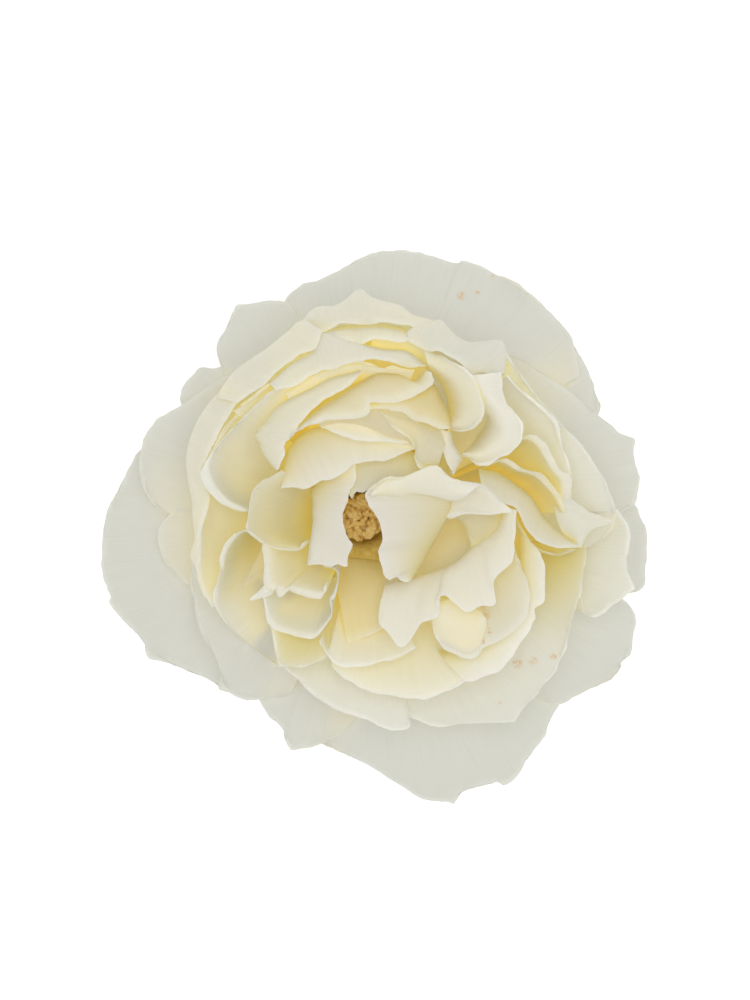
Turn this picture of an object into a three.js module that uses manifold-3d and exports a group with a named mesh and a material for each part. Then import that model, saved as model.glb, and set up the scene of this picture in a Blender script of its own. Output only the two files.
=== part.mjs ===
// A white garden rose, fully open, cut just below its hip and lying face up on a surface.
// Millimetres, +Z up. The origin is the middle of the bloom's outline, at the height of the surface.
import * as THREE from "three";
import { mergeVertices } from "three/addons/utils/BufferGeometryUtils.js";
import Module from "manifold-3d";

const wasm = await Module();
wasm.setup();

// Driving dimensions
const AXIS = new THREE.Vector2(-2.5, 2); // where the hip, the stamens and every claw gather
const PETAL_THICKNESS = 0.6;
const FOLD_SHARE = 0.6; // how far up a petal that curves inwards its widest line lies
const LYING = PETAL_THICKNESS / 2; // mid-surface height of a petal that lies on the surface
const GAP = 0.3; // between pieces that touch on the real flower

// Half outline of the receptacle, the core that every claw sinks into, with the pit that holds the stamens
const PIT_FLOOR = 17.8;
const RECEPTACLE = [
  [0, 12.2],
  [11, 12.2],
  [15, 14.5],
  [15, 19],
  [13, 22],
  [7, 22],
  [5, 20],
  [4.6, PIT_FLOOR],
  [0, PIT_FLOOR],
];
const HIP = { stubRadius: 2.6, stubTop: 2.6, wide: 5.4, wideHeight: 7.6, neck: 4.4, neckHeight: 10.2, rim: 6 };
const SEPAL = {
  count: 5,
  turn: 0.3,
  inner: 3,
  length: 25,
  halfWidth: 3.6,
  thickness: 0.9,
  root: 11,
  droop: 8,
  hollow: 0.8,
};
const STAMEN = {
  count: 34,
  seed: 11,
  footInner: 1.7,
  footOuter: 3.7,
  footHeight: 0.8,
  height: 6.6,
  spread: 0.9,
  thread: 0.32,
  anther: 0.75,
};
const STYLES = { radius: 1.2, height: 4.2 };

// Claws stand one above the other on the receptacle: tier 0 is the lowest and widest
const CLAW = { lowest: 12.9, step: 0.5, widest: 7.2, narrowing: 0.36, halfAngle: 0.4 };

// The petals, seen from above. A rim runs along the free edge from side to side, and a fold along the
// outer silhouette of a petal that curves in over the middle. Heights are evenly spaced along their
// line. A petal that opens outwards has a middle instead: its share of the way out, and its height.
const PETALS = {
  skirt_top: {
    tier: 1,
    rim: [
      [-20.5, 40], [-18.2, 45.4], [-15, 48.6], [-10.6, 49.8], [-6.8, 51.8], [-1.8, 54.8], [4.8, 55.8],
      [10, 55], [13, 54], [16.6, 52.9], [17.6, 53.8], [21, 52.6], [25, 50.6], [28.2, 49.4],
      [32, 46.2], [37, 41.4], [39.8, 37.4], [41, 30.4],
    ],
    rimHeights: [3, 1, 0.5, 0, 1, 2, 3.5],
    middle: [0.5, 13.1],
  },
  skirt_top_under: {
    tier: 0,
    rim: [[32, 36], [38.5, 37.5], [40.8, 35.4], [43, 31.4], [44.4, 27], [45.2, 23.6], [43, 19]],
    rimHeights: [1.5, 0.5, 0.3, 1, 2],
    middle: [0.5, 11.4],
  },
  skirt_upper_left: {
    tier: 1.4,
    rim: [
      [-29, 27], [-30.8, 32.2], [-31.8, 35.6], [-31.4, 37.4], [-30.4, 39], [-29.2, 41.4],
      [-28.4, 43.6], [-27.6, 44.8], [-26, 44.6], [-23, 45.2], [-21, 45.4], [-18.4, 45.2], [-17, 44.8],
      [-16, 43.4], [-15.6, 41.8], [-15.4, 40.6],
    ],
    rimHeights: [8, 6.5, 5.5, 6, 7.5],
    middle: [0.5, 13.8],
  },
  skirt_left_small: {
    tier: 0.6,
    rim: [
      [-36, 18], [-38.8, 24.4], [-39, 27.4], [-38.4, 28.6], [-37, 30], [-35.6, 31.8], [-34, 32],
      [-32, 31.8], [-28, 34],
    ],
    rimHeights: [4.5, 3.5, 3.5, 5],
    middle: [0.5, 12.2],
  },
  skirt_left_upper: {
    tier: 2.2,
    rim: [
      [-26, 31], [-31, 29.8], [-35, 27], [-38.8, 24.4], [-41.6, 22.8], [-43.6, 21.6], [-45, 20],
      [-46.2, 18.4], [-46.8, 16], [-47.2, 13.4], [-47.2, 11.4], [-46.6, 8.4], [-45.8, 6.6],
      [-44.6, 4.8], [-43, 3.6], [-41.6, 2.8],
    ],
    rimHeights: [11, 9, 8, 8, 10],
    middle: [0.5, 14.6],
  },
  skirt_left_lobe: {
    tier: 1.4,
    rim: [
      [-38, 4.6], [-41, 2.6], [-42.4, 1], [-43.4, -1], [-43.4, -3.6], [-42.6, -5.6], [-41, -8.6],
      [-36, -13],
    ],
    rimHeights: [11, 10.5, 10.5, 11],
    middle: [0.5, 14.4],
  },
  skirt_left: {
    tier: 0,
    rim: [
      [-42, 17], [-46.8, 15.8], [-49.4, 12.2], [-51.6, 7.6], [-53.8, 3.6], [-54.8, -1], [-55, -5],
      [-55, -9], [-54.6, -11], [-53.2, -14], [-53.8, -15.2], [-52.6, -16.6], [-49.4, -20.4],
      [-47.4, -21.6], [-46.6, -23], [-46.4, -24.6], [-45.8, -26.2], [-44.6, -26.8], [-42, -27.4],
      [-37, -29.2], [-34, -30.2], [-31.2, -32.2],
    ],
    rimHeights: [4, 1.5, 0.5, 0, 0, 1, 2],
    middle: [0.5, 12],
  },
  skirt_lower_left: {
    tier: 2.6,
    rim: [
      [-35, -3], [-36.6, -7.2], [-36.8, -9.6], [-36.6, -12.6], [-36, -14.6], [-35.8, -17.6],
      [-35, -20.6], [-33.6, -23.2], [-32, -25.6], [-31, -28.2], [-30.8, -30.6], [-31.4, -32.4],
      [-30.6, -32.8], [-29, -33.2], [-27.6, -34.2], [-25.6, -34.8], [-23.8, -34.6], [-17, -34],
    ],
    rimHeights: [14, 12, 11, 9, 8, 8, 9],
    middle: [0.5, 15.2],
  },
  skirt_bottom_left: {
    tier: 1,
    rim: [
      [-24, -28], [-23.5, -34], [-22.8, -35.6], [-22, -37], [-21.2, -38.4], [-19.6, -39.2],
      [-18.2, -40.6], [-18.2, -42.2], [-17.6, -43.6], [-16.8, -44.8], [-15, -44.6], [-13, -44.2],
      [-11.2, -43.6], [-8, -42], [-5.6, -40.2], [-1, -36],
    ],
    rimHeights: [8, 6, 6, 6, 8],
    middle: [0.5, 14],
  },
  skirt_bottom: {
    tier: 0,
    rim: [
      [-14, -42], [-11.2, -43.4], [-8, -44.8], [-5, -46.2], [-0.6, -48.4], [3, -50.8], [8, -54],
      [11, -55.2], [14.4, -55.4], [15.8, -55.8], [16.8, -54.6], [17.6, -53.2], [18.8, -52.6],
      [21, -52.2], [24.6, -51.4], [25.6, -52.2], [27, -51.8], [29, -50], [30.8, -46.4], [33, -43.6],
      [34.2, -42.2], [34.8, -40.2], [35.4, -38.4], [37, -35.8],
    ],
    rimHeights: [2, 1, 0.5, 0, 0, 0, 1, 2],
    middle: [0.5, 11.6],
  },
  skirt_lower_right: {
    tier: 1,
    rim: [
      [32, -34], [37, -35.8], [41, -33.6], [45, -31.8], [48, -30.2], [49.6, -28], [49.2, -27.2],
      [51, -26], [51.7, -24.6], [51.8, -22], [52.4, -20.2], [52.2, -17.6], [51, -15.6], [49.4, -14.4],
    ],
    rimHeights: [5, 4, 3.5, 4, 5],
    middle: [0.5, 13],
  },
  skirt_right_under: {
    tier: 0,
    rim: [
      [46, -15], [50.6, -13.4], [53, -13], [54.2, -12], [54.6, -10.6], [54.4, -8.6], [54.8, -5.6],
      [54.6, -0.6], [54, 1], [53.2, 2.4], [52.4, 4.4], [47, 9],
    ],
    rimHeights: [2.5, 1, 1, 1.5],
    middle: [0.5, 11.4],
  },
  skirt_right: {
    tier: 2,
    rim: [
      [24, 34.5], [29, 34], [35, 29.8], [40, 26.4], [44.8, 22.4], [47.4, 20.2], [48.6, 19],
      [51.4, 18], [52.4, 17.4], [51.8, 15], [52.6, 11.8], [53.2, 10], [53, 8], [52.2, 4.6],
      [51, 3.8], [46, 1],
    ],
    rimHeights: [12.5, 10, 8.5, 7.5, 7, 6.5, 7],
    middle: [0.5, 14.4],
  },
  skirt_right_inner: {
    tier: 3,
    rim: [
      [42, 3], [46.6, 3], [48, 3.8], [49, 2.4], [50.2, 0.8], [50.8, -1.6], [50.6, -4.6], [50, -6.6],
      [50.2, -8.2], [51, -10.2], [52, -12], [51.6, -12.6], [49.4, -14.4], [47.4, -15.6], [45.8, -17],
      [44.6, -17.8], [43.4, -18], [42.4, -17.4], [41.6, -16.2], [40.8, -13],
    ],
    rimHeights: [15, 12.5, 11, 11, 13, 15],
    middle: [0.5, 16.6],
  },
  bowl_top: {
    tier: 4,
    fold: [
      [-16, 38], [-13.6, 42], [-12.4, 43.2], [-10.6, 43.8], [-8.4, 43.8], [-6, 45], [-3.8, 47],
      [-2.4, 47.2], [-1, 45.8], [2, 44.8], [5, 44], [7.4, 42.2], [10, 41.4], [13, 40.4],
    ],
    foldHeights: [19, 20, 20, 21, 22],
    rim: [
      [-14, 36], [-10.6, 38.6], [-8, 39.6], [-5, 40.2], [-1, 40.4], [3, 40.4], [5.6, 40], [7.6, 39.4],
      [12, 37],
    ],
    rimHeights: [27, 29, 30, 30, 29],
  },
  bowl_top_inner: {
    tier: 4.2,
    fold: [[-10, 36.8], [-6, 38.2], [-3, 38.9], [1, 38.9], [5, 38.4], [8, 37.4]],
    foldHeights: [25.4, 25.4, 25.4],
    rim: [[-9, 36], [-6, 37.2], [-3, 37.2], [0, 37], [3, 36.8], [6, 36.8], [8, 35.6]],
    rimHeights: [31, 32, 32],
  },
  bowl_top_band: {
    tier: 5,
    fold: [
      [-21, 28.5], [-17, 32.6], [-15, 33.8], [-12.2, 35.6], [-10.2, 38.4], [-6.4, 37.6], [-3, 36.4],
      [0, 35.6], [3, 35.2], [6, 35], [8, 33.8], [10.4, 31.8],
    ],
    foldHeights: [26, 28, 29, 29, 30],
    rim: [
      [-19.4, 27], [-17, 27.6], [-14, 29], [-11.4, 30.4], [-9, 31.4], [-6, 32.2], [-3, 32.8],
      [0, 33], [3, 32.6], [5.4, 32], [7.4, 31.6], [10, 31.8],
    ],
    rimHeights: [34, 35, 36, 36, 34],
  },
  bowl_upper_left: {
    tier: 4.8,
    fold: [
      [-14, 41], [-15.4, 40.6], [-17, 39], [-19, 37.4], [-22, 35], [-25, 33], [-28, 30.6],
      [-30, 28], [-31.4, 25.6],
    ],
    foldHeights: [24, 24, 24, 24, 23.5],
    rim: [
      [-10.4, 38.8], [-11.4, 36.4], [-12.2, 35.2], [-15, 34], [-17, 32.6], [-19, 31], [-21, 29.2],
      [-22.6, 27.8], [-25, 26.2], [-27, 24.6],
    ],
    rimHeights: [31, 32, 31, 30, 29],
  },
  bowl_left: {
    tier: 4,
    fold: [
      [-31, 27.4], [-34.4, 23.4], [-36, 19.4], [-37.4, 14.4], [-38.4, 9.4], [-38.8, 4.4],
      [-38.6, 0], [-38, -5], [-37, -9], [-35.6, -14],
    ],
    foldHeights: [20.5, 20.5, 20, 20, 19.5],
    rim: [
      [-25.6, 25.8], [-27.6, 24.4], [-29.4, 22.8], [-31, 21], [-32.4, 18], [-33.6, 15.4], [-35, 12.4],
      [-36, 9.4], [-36.4, 5.4], [-36.4, 2.4], [-35.6, -0.6], [-35.6, -2.6], [-36.2, -4.6],
      [-37, -6.2], [-35.4, -7.4], [-34.8, -10.2], [-34, -12.6], [-33, -14.2],
    ],
    rimHeights: [28, 27, 26, 25, 23],
  },
  bowl_left_lipped: {
    tier: 4.8,
    rim: [
      [-19.8, 27.2], [-21.4, 26], [-24, 23.8], [-27, 21.4], [-28.8, 19], [-30.4, 16.8], [-31.8, 14.4],
      [-34.4, 11], [-34, 9.4], [-33.2, 7.4], [-32.6, 5.8], [-31.8, 4.8], [-30, 4], [-28, 3.6],
      [-26.4, 3.2], [-25, 3.6], [-23.2, 4.2],
    ],
    rimHeights: [29, 30, 30, 29, 29, 30, 30],
    middle: [0.62, 21.4],
  },
  bowl_lower_left: {
    tier: 4.8,
    rim: [
      [-28, -4], [-30.6, -6], [-31, -9.6], [-30.6, -14.6], [-28.6, -19.6], [-25, -23.8], [-22, -26.4],
      [-18, -28.2], [-12, -26],
    ],
    rimHeights: [24, 25, 25, 24, 23],
    middle: [0.55, 18.6],
  },
  bowl_bottom_left: {
    tier: 4.2,
    rim: [
      [-18, -28.2], [-15, -30.6], [-13, -32.6], [-11.4, -34], [-9, -35.6], [-6, -37], [-4, -37.6],
      [-1, -38.6], [1, -39.6], [3.4, -40.4], [5.4, -40.4], [6.6, -40.2], [7, -39.4], [6.6, -38],
      [6.8, -37.2],
    ],
    rimHeights: [21, 20, 18.5, 18, 18.5],
    middle: [0.55, 17.2],
  },
  bowl_bottom_right: {
    tier: 3,
    rim: [
      [6.4, -37.4], [11, -39.6], [14, -39.8], [17, -39.4], [21, -39.2], [25, -39], [28, -39],
      [28.4, -38], [29.4, -36.6], [31, -34.6], [32.6, -33], [33.2, -31.6], [35, -30.2], [36.2, -28.6],
      [36.6, -27], [38, -24.2], [39, -22.2], [40.6, -20.2], [41, -14],
    ],
    rimHeights: [16, 14.5, 14, 14, 15, 17, 18],
    middle: [0.55, 15.6],
  },
  bowl_right: {
    tier: 4.4,
    fold: [
      [22, 36], [26, 35.4], [29, 34], [34, 30.6], [39, 26.4], [43, 20.4], [45, 13.4], [45.6, 5.4],
    ],
    foldHeights: [22.5, 21.5, 21, 20],
    rim: [
      [24, 33], [25.6, 31], [28.6, 27.4], [32, 25.8], [34.6, 23], [37, 19], [39, 15.4], [41, 10.4],
      [42.6, 5.4], [43.4, 3],
    ],
    rimHeights: [27, 26, 25, 24, 22],
  },
  bowl_right_inner: {
    tier: 4.9,
    fold: [[24, 30], [29, 27], [34, 22.4], [37.6, 17.4], [40, 11.4], [41, 5.4]],
    foldHeights: [25, 24, 23],
    rim: [
      [25.4, 26.4], [27.4, 23.2], [29.2, 20.4], [32, 18], [35, 15.4], [38, 12], [39.4, 7.4],
      [40, 4],
    ],
    rimHeights: [28, 27, 26, 25],
  },
  bowl_upper_right: {
    tier: 5,
    fold: [
      [6.2, 37.8], [6.6, 38.8], [8, 39.6], [11, 40.4], [13, 41], [14.4, 39.4], [16, 38], [17.6, 37],
      [19, 36.6], [21, 36.8], [25, 37], [25.8, 34], [25.4, 30.4],
    ],
    foldHeights: [31, 28, 26, 25, 27],
    rim: [
      [6.2, 37.6], [6.6, 36.8], [9, 35.6], [11, 35], [13, 34.4], [15, 33.2], [17, 32.2], [19, 30.4],
      [20.6, 30.8], [23, 30.2],
    ],
    rimHeights: [32, 33, 34, 34, 32],
  },
  heart_upper_left: {
    tier: 6,
    fold: [
      [-19.2, 11.2], [-20.4, 12.4], [-22, 14.8], [-23, 17.2], [-23.6, 18.2], [-22.6, 19.4],
      [-21, 21.4], [-20, 23], [-18, 24.6], [-15, 26.4], [-12, 27.8], [-9, 29.4], [-6, 30.2],
      [-3, 31],
    ],
    foldHeights: [35, 33, 31, 31, 32],
    rim: [
      [-18.8, 12], [-17.8, 14.4], [-17.6, 16.8], [-15.8, 18.8], [-14, 21.4], [-12, 23.4], [-10, 25],
      [-8, 26.2], [-6, 27.4], [-5, 28], [-3.4, 29.8], [-2.6, 30.4],
    ],
    rimHeights: [37, 38, 39, 39, 37],
  },
  heart_dome: {
    tier: 6.8,
    fold: [
      [-17.4, 17.4], [-15.4, 21], [-12, 25], [-8, 27.4], [-5, 28.6], [-1, 30.4], [2, 30.6], [5, 30.4],
      [8, 30], [10.6, 31],
    ],
    foldHeights: [34, 33, 33, 33, 36],
    rim: [
      [-16.4, 18.6], [-14.4, 20], [-12, 21.8], [-9, 23], [-6, 23.6], [-3, 23.8], [-1, 24], [1, 24.4],
      [3.4, 24.8], [6, 25.2], [9, 26.2], [11, 27.8], [11.6, 29], [11.4, 30.6], [10, 31.8],
    ],
    rimHeights: [39, 40, 41.5, 42, 42, 41, 39],
  },
  heart_top_right: {
    tier: 7.4,
    fold: [
      [-4, 25], [2, 27], [8, 28], [11.6, 28], [13, 25.4], [14.2, 23], [14.8, 21], [14.8, 19.8],
    ],
    foldHeights: [36, 35, 34, 35, 37],
    rim: [
      [-3, 23], [1, 23.2], [3, 23], [5, 22.6], [7, 21.6], [9, 20.8], [11, 20], [12.6, 19.4],
      [14.4, 19.2],
    ],
    rimHeights: [40.5, 41, 41.5, 41, 40],
  },
  heart_scoop: {
    tier: 5.8,
    rim: [
      [10.4, 31.4], [12, 34], [15, 33], [17, 32], [18.8, 30.2], [20, 27], [21, 25.4], [21.8, 24],
      [21.6, 22.4], [20.6, 20.6], [19, 19.8], [17.4, 19.2], [15.4, 18.8], [13.8, 20],
    ],
    rimHeights: [35, 36, 36, 37, 38, 37],
    middle: [0.62, 22],
  },
  heart_thumb: {
    tier: 5,
    fold: [
      [25.4, 30.4], [25.4, 26.6], [27.4, 23.2], [28.8, 21.8], [29.2, 19.4], [29, 17.4], [27.4, 15.4],
      [25, 13.6], [23, 12.4], [21, 12], [19, 12.4],
    ],
    foldHeights: [30, 31, 32, 33, 35],
    rim: [
      [19, 30.4], [19.4, 28.4], [20.2, 26.4], [21.4, 24.4], [22.2, 22.6], [21.8, 20.8], [21, 18.6],
      [20.2, 17.2], [19, 15.4], [17.2, 14],
    ],
    rimHeights: [35, 37, 38, 38, 37, 36],
  },
  heart_right_outer: {
    tier: 5.2,
    rim: [
      [28.8, 17.8], [31, 18], [33, 17.4], [34.6, 15.8], [36, 14], [37.4, 12.2], [38.6, 10.6],
      [39.2, 9], [39, 7.4], [38.8, 5.8], [40, 4.8], [42, 3.8], [43.4, 3],
    ],
    rimHeights: [30, 31, 30, 28, 27, 26],
    middle: [0.6, 20.6],
  },
  heart_right_middle: {
    tier: 6,
    rim: [
      [25.6, 13.8], [27.4, 13.2], [29, 12.4], [31, 11.2], [33, 10], [34.6, 8.4], [36, 7.4],
      [36.6, 6], [37.6, 3.8],
    ],
    rimHeights: [33, 33, 32, 30, 28],
    middle: [0.6, 21.2],
  },
  heart_right_roll: {
    tier: 6.6,
    fold: [
      [23.4, 11.8], [26, 10.6], [28, 9], [30, 7], [31.6, 5], [32.6, 3], [35, 0.2], [39, -1.4],
      [42, -1.6],
    ],
    foldHeights: [32, 31, 30, 29, 28],
    rim: [
      [20.8, 8.4], [25, 5.4], [28, 3.2], [29, 1.4], [30.6, -0.6], [32.6, -2.2], [34.6, -3.6],
      [37, -4.2], [39, -3.6], [41.6, -2.6],
    ],
    rimHeights: [35, 35, 34, 32, 29],
  },
  heart_left_arch: {
    tier: 6.2,
    rim: [
      [-18.8, 10.6], [-20.6, 10.2], [-22, 9.4], [-23.4, 8.4], [-24.4, 7], [-24.6, 6.2], [-23.4, 4.4],
      [-24.2, 3.2], [-25.4, 2.4], [-26.4, 0.2], [-29, -2.8], [-30.2, -4.2], [-30.6, -6],
      [-29.8, -4.4], [-28, -2], [-26.4, -1.2], [-25, -1.3], [-23, -2.2], [-21, -3.4], [-19, -4.2],
      [-17, -4.6], [-15.2, -4.2],
    ],
    rimHeights: [36, 36, 35, 31, 33, 34],
    middle: [0.6, 27],
  },
  heart_left_star: {
    tier: 7.2,
    rim: [
      [-22.4, -3.8], [-22.4, -7.4], [-22, -10], [-24, -13.4], [-25, -14.4], [-22, -13.6],
      [-19.4, -12.4], [-18.2, -13.6], [-17.4, -12.2], [-15, -12.8], [-12.6, -13.8], [-10.6, -14.4],
      [-10.2, -11.6],
    ],
    rimHeights: [32, 33, 33, 33],
    middle: [0.6, 27],
  },
  heart_lower_left: {
    tier: 6.4,
    rim: [
      [-9.8, -8], [-8.4, -8], [-7.4, -9], [-7.4, -10.6], [-7.8, -12.2], [-8.2, -14], [-9, -14.6],
      [-8.4, -15.2], [-8, -16.6], [-8.2, -18], [-9, -19.6], [-10, -20.6], [-12.6, -22.4], [-16, -24],
      [-19.6, -22.4], [-21.4, -17], [-22, -13],
    ],
    rimHeights: [31, 32, 32, 31, 30, 29, 29, 30],
    middle: [0.6, 25],
  },
  heart_bottom_left: {
    tier: 5.4,
    rim: [
      [-9, -21], [-8.8, -24], [-9.2, -25.8], [-12, -27.2], [-14, -27.8], [-17, -27.4], [-19, -27.6],
      [-19.2, -25.6], [-20, -21.6], [-21.4, -16],
    ],
    rimHeights: [26, 27, 28, 28, 27],
    middle: [0.6, 23],
  },
  heart_bottom_small: {
    tier: 5.8,
    rim: [
      [-11, -22.6], [-10, -24.6], [-8.4, -26.6], [-7, -27.4], [-5, -27.6], [-2, -27.4], [1, -26.6],
      [4, -26], [8, -24],
    ],
    rimHeights: [26, 27, 27, 26],
    middle: [0.6, 20],
  },
  heart_bottom_cup: {
    tier: 5,
    rim: [
      [-6.4, -28], [-3.4, -31.2], [-2.4, -32.2], [-1, -32.6], [0.6, -33], [2, -33.6], [4, -34],
      [7, -34.2], [10.6, -34.2], [13, -33.4], [15, -32.2], [17, -30.8], [18, -29.2], [19, -26.6],
    ],
    rimHeights: [25, 26, 26, 26, 26],
    middle: [0.62, 18.4],
  },
  heart_crescent: {
    tier: 4.4,
    rim: [
      [30, 0], [31.4, -3], [32.4, -4.6], [33.2, -6.6], [33.6, -9.6], [34, -12.6], [33.4, -14.6],
      [32, -16], [31.8, -17.6], [31, -19], [29.8, -20.6], [29, -22.6], [27.8, -25.6], [27, -26.6],
      [25, -28.2], [23, -29], [20.6, -30], [18.6, -30.8],
    ],
    rimHeights: [26, 27, 27, 26.5, 26, 25.5],
    middle: [0.62, 20],
  },
  heart_round_lobe: {
    tier: 5.4,
    rim: [
      [11.8, -15], [11.4, -18.2], [11.2, -20.6], [12.4, -22.4], [14.6, -24.6], [17, -25.6],
      [19, -26.2], [21, -25], [25, -22.6], [29, -20.2], [30.4, -16.6], [30.6, -12.6], [30, -9],
    ],
    rimHeights: [29, 30, 30, 29, 29, 28],
    middle: [0.6, 21.4],
  },
  heart_lower_right: {
    tier: 6.4,
    rim: [
      [22, 5], [25, 3], [26.6, 1.4], [27.8, -0.2], [27.5, -1.6], [27.8, -3.6], [27.4, -5.6],
      [27, -7.2], [25.6, -9], [24.4, -10.2], [23.6, -12.2], [23.8, -14.6], [22.4, -15], [20.6, -15.4],
      [18.6, -15.8], [17, -16.4], [16, -15.6], [15, -14.6], [13.6, -14], [12.2, -15],
    ],
    rimHeights: [32, 33, 34, 34, 33, 33, 32],
    middle: [0.6, 23.4],
  },
  heart_tongue: {
    tier: 6.6,
    rim: [
      [1.4, -14], [1.6, -18], [2.4, -21.2], [3.6, -22.2], [4.6, -23], [5.6, -23.2], [6.8, -22.6],
      [8, -21.4], [9, -19.6], [10, -18.8], [11.6, -18],
    ],
    rimHeights: [29, 31, 31, 31, 30],
    middle: [0.6, 24.6],
  },
  heart_tan: {
    tier: 7.4,
    rim: [
      [-7.4, -9.6], [-6.8, -12.6], [-5.8, -15.6], [-5, -18.2], [-4.6, -20.6], [-5.2, -22.8],
      [-3, -22.2], [-1, -21.4], [1, -20.6], [2.4, -20.2],
    ],
    rimHeights: [26, 28, 29, 29, 28],
    middle: [0.6, 23],
  },
  heart_lens: {
    tier: 8,
    fold: [[-13.4, 20.6], [-10, 22.8], [-5, 24], [0, 23.8], [4, 22.6], [7.4, 20.6], [9.8, 18.4]],
    foldHeights: [37, 37, 37, 37],
    rim: [
      [-11, 20.4], [-9, 18.8], [-6, 17.4], [-3, 17], [0, 17], [2, 16.6], [5, 16.2], [7.6, 16.2],
    ],
    rimHeights: [38.5, 39, 39, 38],
  },
  heart_hood: {
    tier: 8.6,
    fold: [
      [-18.4, 8.2], [-18, 12], [-17, 15.4], [-14, 18.6], [-10, 20], [-5, 20.4], [0, 19.6], [5, 18],
      [8, 16.2],
    ],
    foldHeights: [35, 34, 34, 35, 36],
    rim: [
      [-18.6, 7.6], [-16, 7.8], [-13.4, 7.8], [-11, 9], [-9, 9.6], [-7, 10.4], [-5.4, 11.4],
      [-4, 12.4], [-1, 13], [2, 13.2], [4, 14], [6, 14.8], [7.8, 15.4],
    ],
    rimHeights: [36, 37.5, 38, 38, 37.5],
  },
  centre_cover: {
    tier: 9.4,
    fold: [[-8, 12], [-4, 15], [1, 16], [6, 15.4], [10, 13], [12, 10]],
    foldHeights: [33, 33, 33, 33],
    rim: [[-6, 8], [-4.6, 6], [-4, 6.8], [-2.6, 7], [-1.4, 7.4], [0, 8], [4, 8], [9, 8]],
    rimHeights: [35, 35, 35, 35],
  },
  flap_left: {
    tier: 9.4,
    fold: [[-10, 11], [-12.2, 7.8], [-12.2, 4.4], [-12.2, 0.4], [-12.8, -3.6], [-13.2, -7.4]],
    foldHeights: [33, 33, 33, 33],
    rim: [
      [-3.8, 12.4], [-3.8, 9.4], [-5, 7], [-5.6, 4.8], [-6.2, 2.8], [-6.2, 1], [-5.8, -0.6],
      [-5.2, -2.2], [-4.6, -3.4], [-5.4, -5.8], [-5.8, -7.6], [-7.4, -7.2], [-9, -7.8], [-11.4, -7.2],
      [-13, -7.6],
    ],
    rimHeights: [35.5, 36, 37, 37, 36, 35],
  },
  flap_right: {
    tier: 8.6,
    fold: [
      [12.4, 12], [15, 9.4], [15, 5.4], [14, 2.4], [12.6, -0.6], [11, -3.6], [9.8, -6.6], [10, -9],
    ],
    foldHeights: [34, 34, 33, 33],
    rim: [
      [5, 10], [1, 9], [-1.6, 6.8], [-1, 4.4], [0, 2.8], [0.8, 1], [1.2, -0.6], [1.4, -2.6],
      [0.8, -4.6], [1, -6.6], [2, -9.6], [4, -10.2], [6, -10.8], [8.6, -10], [10, -9.2],
    ],
    rimHeights: [37, 37.5, 38, 38, 37, 35],
  },
  flap_right_lip: {
    tier: 8.8,
    root: [[-1, 6], [1, 6.2], [5, 6.2], [7, 6.8], [11, 6.4], [15, 5.4], [17, 5.6]],
    rootHeights: [37.8, 38, 38, 37],
    rim: [
      [-0.6, 7], [0.4, 8.2], [1.8, 9.8], [5, 10], [8.6, 11.2], [11.6, 12.2], [14.4, 10.2], [16, 9.4],
      [20.6, 8.6],
    ],
    rimHeights: [39, 40.4, 40.4, 39],
    middle: [0.5, 40],
  },
  flap_corner: {
    tier: 7.8,
    root: [[11.6, 10], [14.2, 8.4], [14.4, 5.4], [13.4, 2.6]],
    rootHeights: [33.6, 33.6, 33.4, 33],
    rim: [
      [15, 9], [20.6, 8.6], [23, 7], [25, 5], [27, 3.2], [24, 2.6], [21, 2.6], [17.6, 2.8],
      [15, 1.6],
    ],
    rimHeights: [34, 36, 36, 36, 34],
    middle: [0.5, 34.6],
  },
  centre_tongue: {
    tier: 8,
    root: [[0.6, 23.6], [6, 23.4], [10, 22], [13, 20.4], [14, 17]],
    rootHeights: [38, 38, 37],
    rim: [
      [1.4, 22.2], [4, 19.4], [7, 17], [8, 15], [7.8, 13.8], [9, 11.4], [11, 12], [12.4, 12.2],
    ],
    rimHeights: [40, 40, 39.5, 38],
    middle: [0.5, 40.2],
  },
  centre_strip: {
    tier: 8,
    fold: [[14.8, 18.8], [15.4, 16.4], [16.6, 14.4], [17, 13.6], [16.2, 12.2], [15.4, 10.4]],
    foldHeights: [36, 35, 35],
    rim: [[12.4, 19.4], [12.8, 17.4], [13.4, 15], [14.2, 12.8], [15, 11.4]],
    rimHeights: [38.5, 38, 37],
  },
};

const mix = THREE.MathUtils.lerp;
const clamp = THREE.MathUtils.clamp;

// Smooth value through four neighbours, between the second and the third
function smooth(before, from, to, after, t) {
  const slope = to - before;
  const bend = 2 * before - 5 * from + 4 * to - after;
  const twist = 3 * from - before - 3 * to + after;
  return 0.5 * (2 * from + slope * t + bend * t * t + twist * t ** 3);
}

// Point of a plan outline at a share of its length
function along(outline, share) {
  const lengths = [0];
  for (let i = 1; i < outline.length; i++) {
    const step = Math.hypot(outline[i][0] - outline[i - 1][0], outline[i][1] - outline[i - 1][1]);
    lengths.push(lengths[i - 1] + step);
  }
  const wanted = share * lengths.at(-1);
  let i = 0;
  while (i < outline.length - 2 && lengths[i + 1] < wanted) i++;
  const t = clamp((wanted - lengths[i]) / (lengths[i + 1] - lengths[i]), 0, 1);
  const near = [i - 1, i, i + 1, i + 2].map((k) => outline[clamp(k, 0, outline.length - 1)]);
  return [0, 1].map((axis) => smooth(...near.map((point) => point[axis]), t));
}

// Height at a share of a line whose heights are evenly spaced
function heightAt(heights, share) {
  const last = heights.length - 1;
  const i = Math.min(Math.floor(share * last), last - 1);
  const near = [i - 1, i, i + 1, i + 2].map((k) => heights[clamp(k, 0, last)]);
  return smooth(...near, share * last - i);
}

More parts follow.
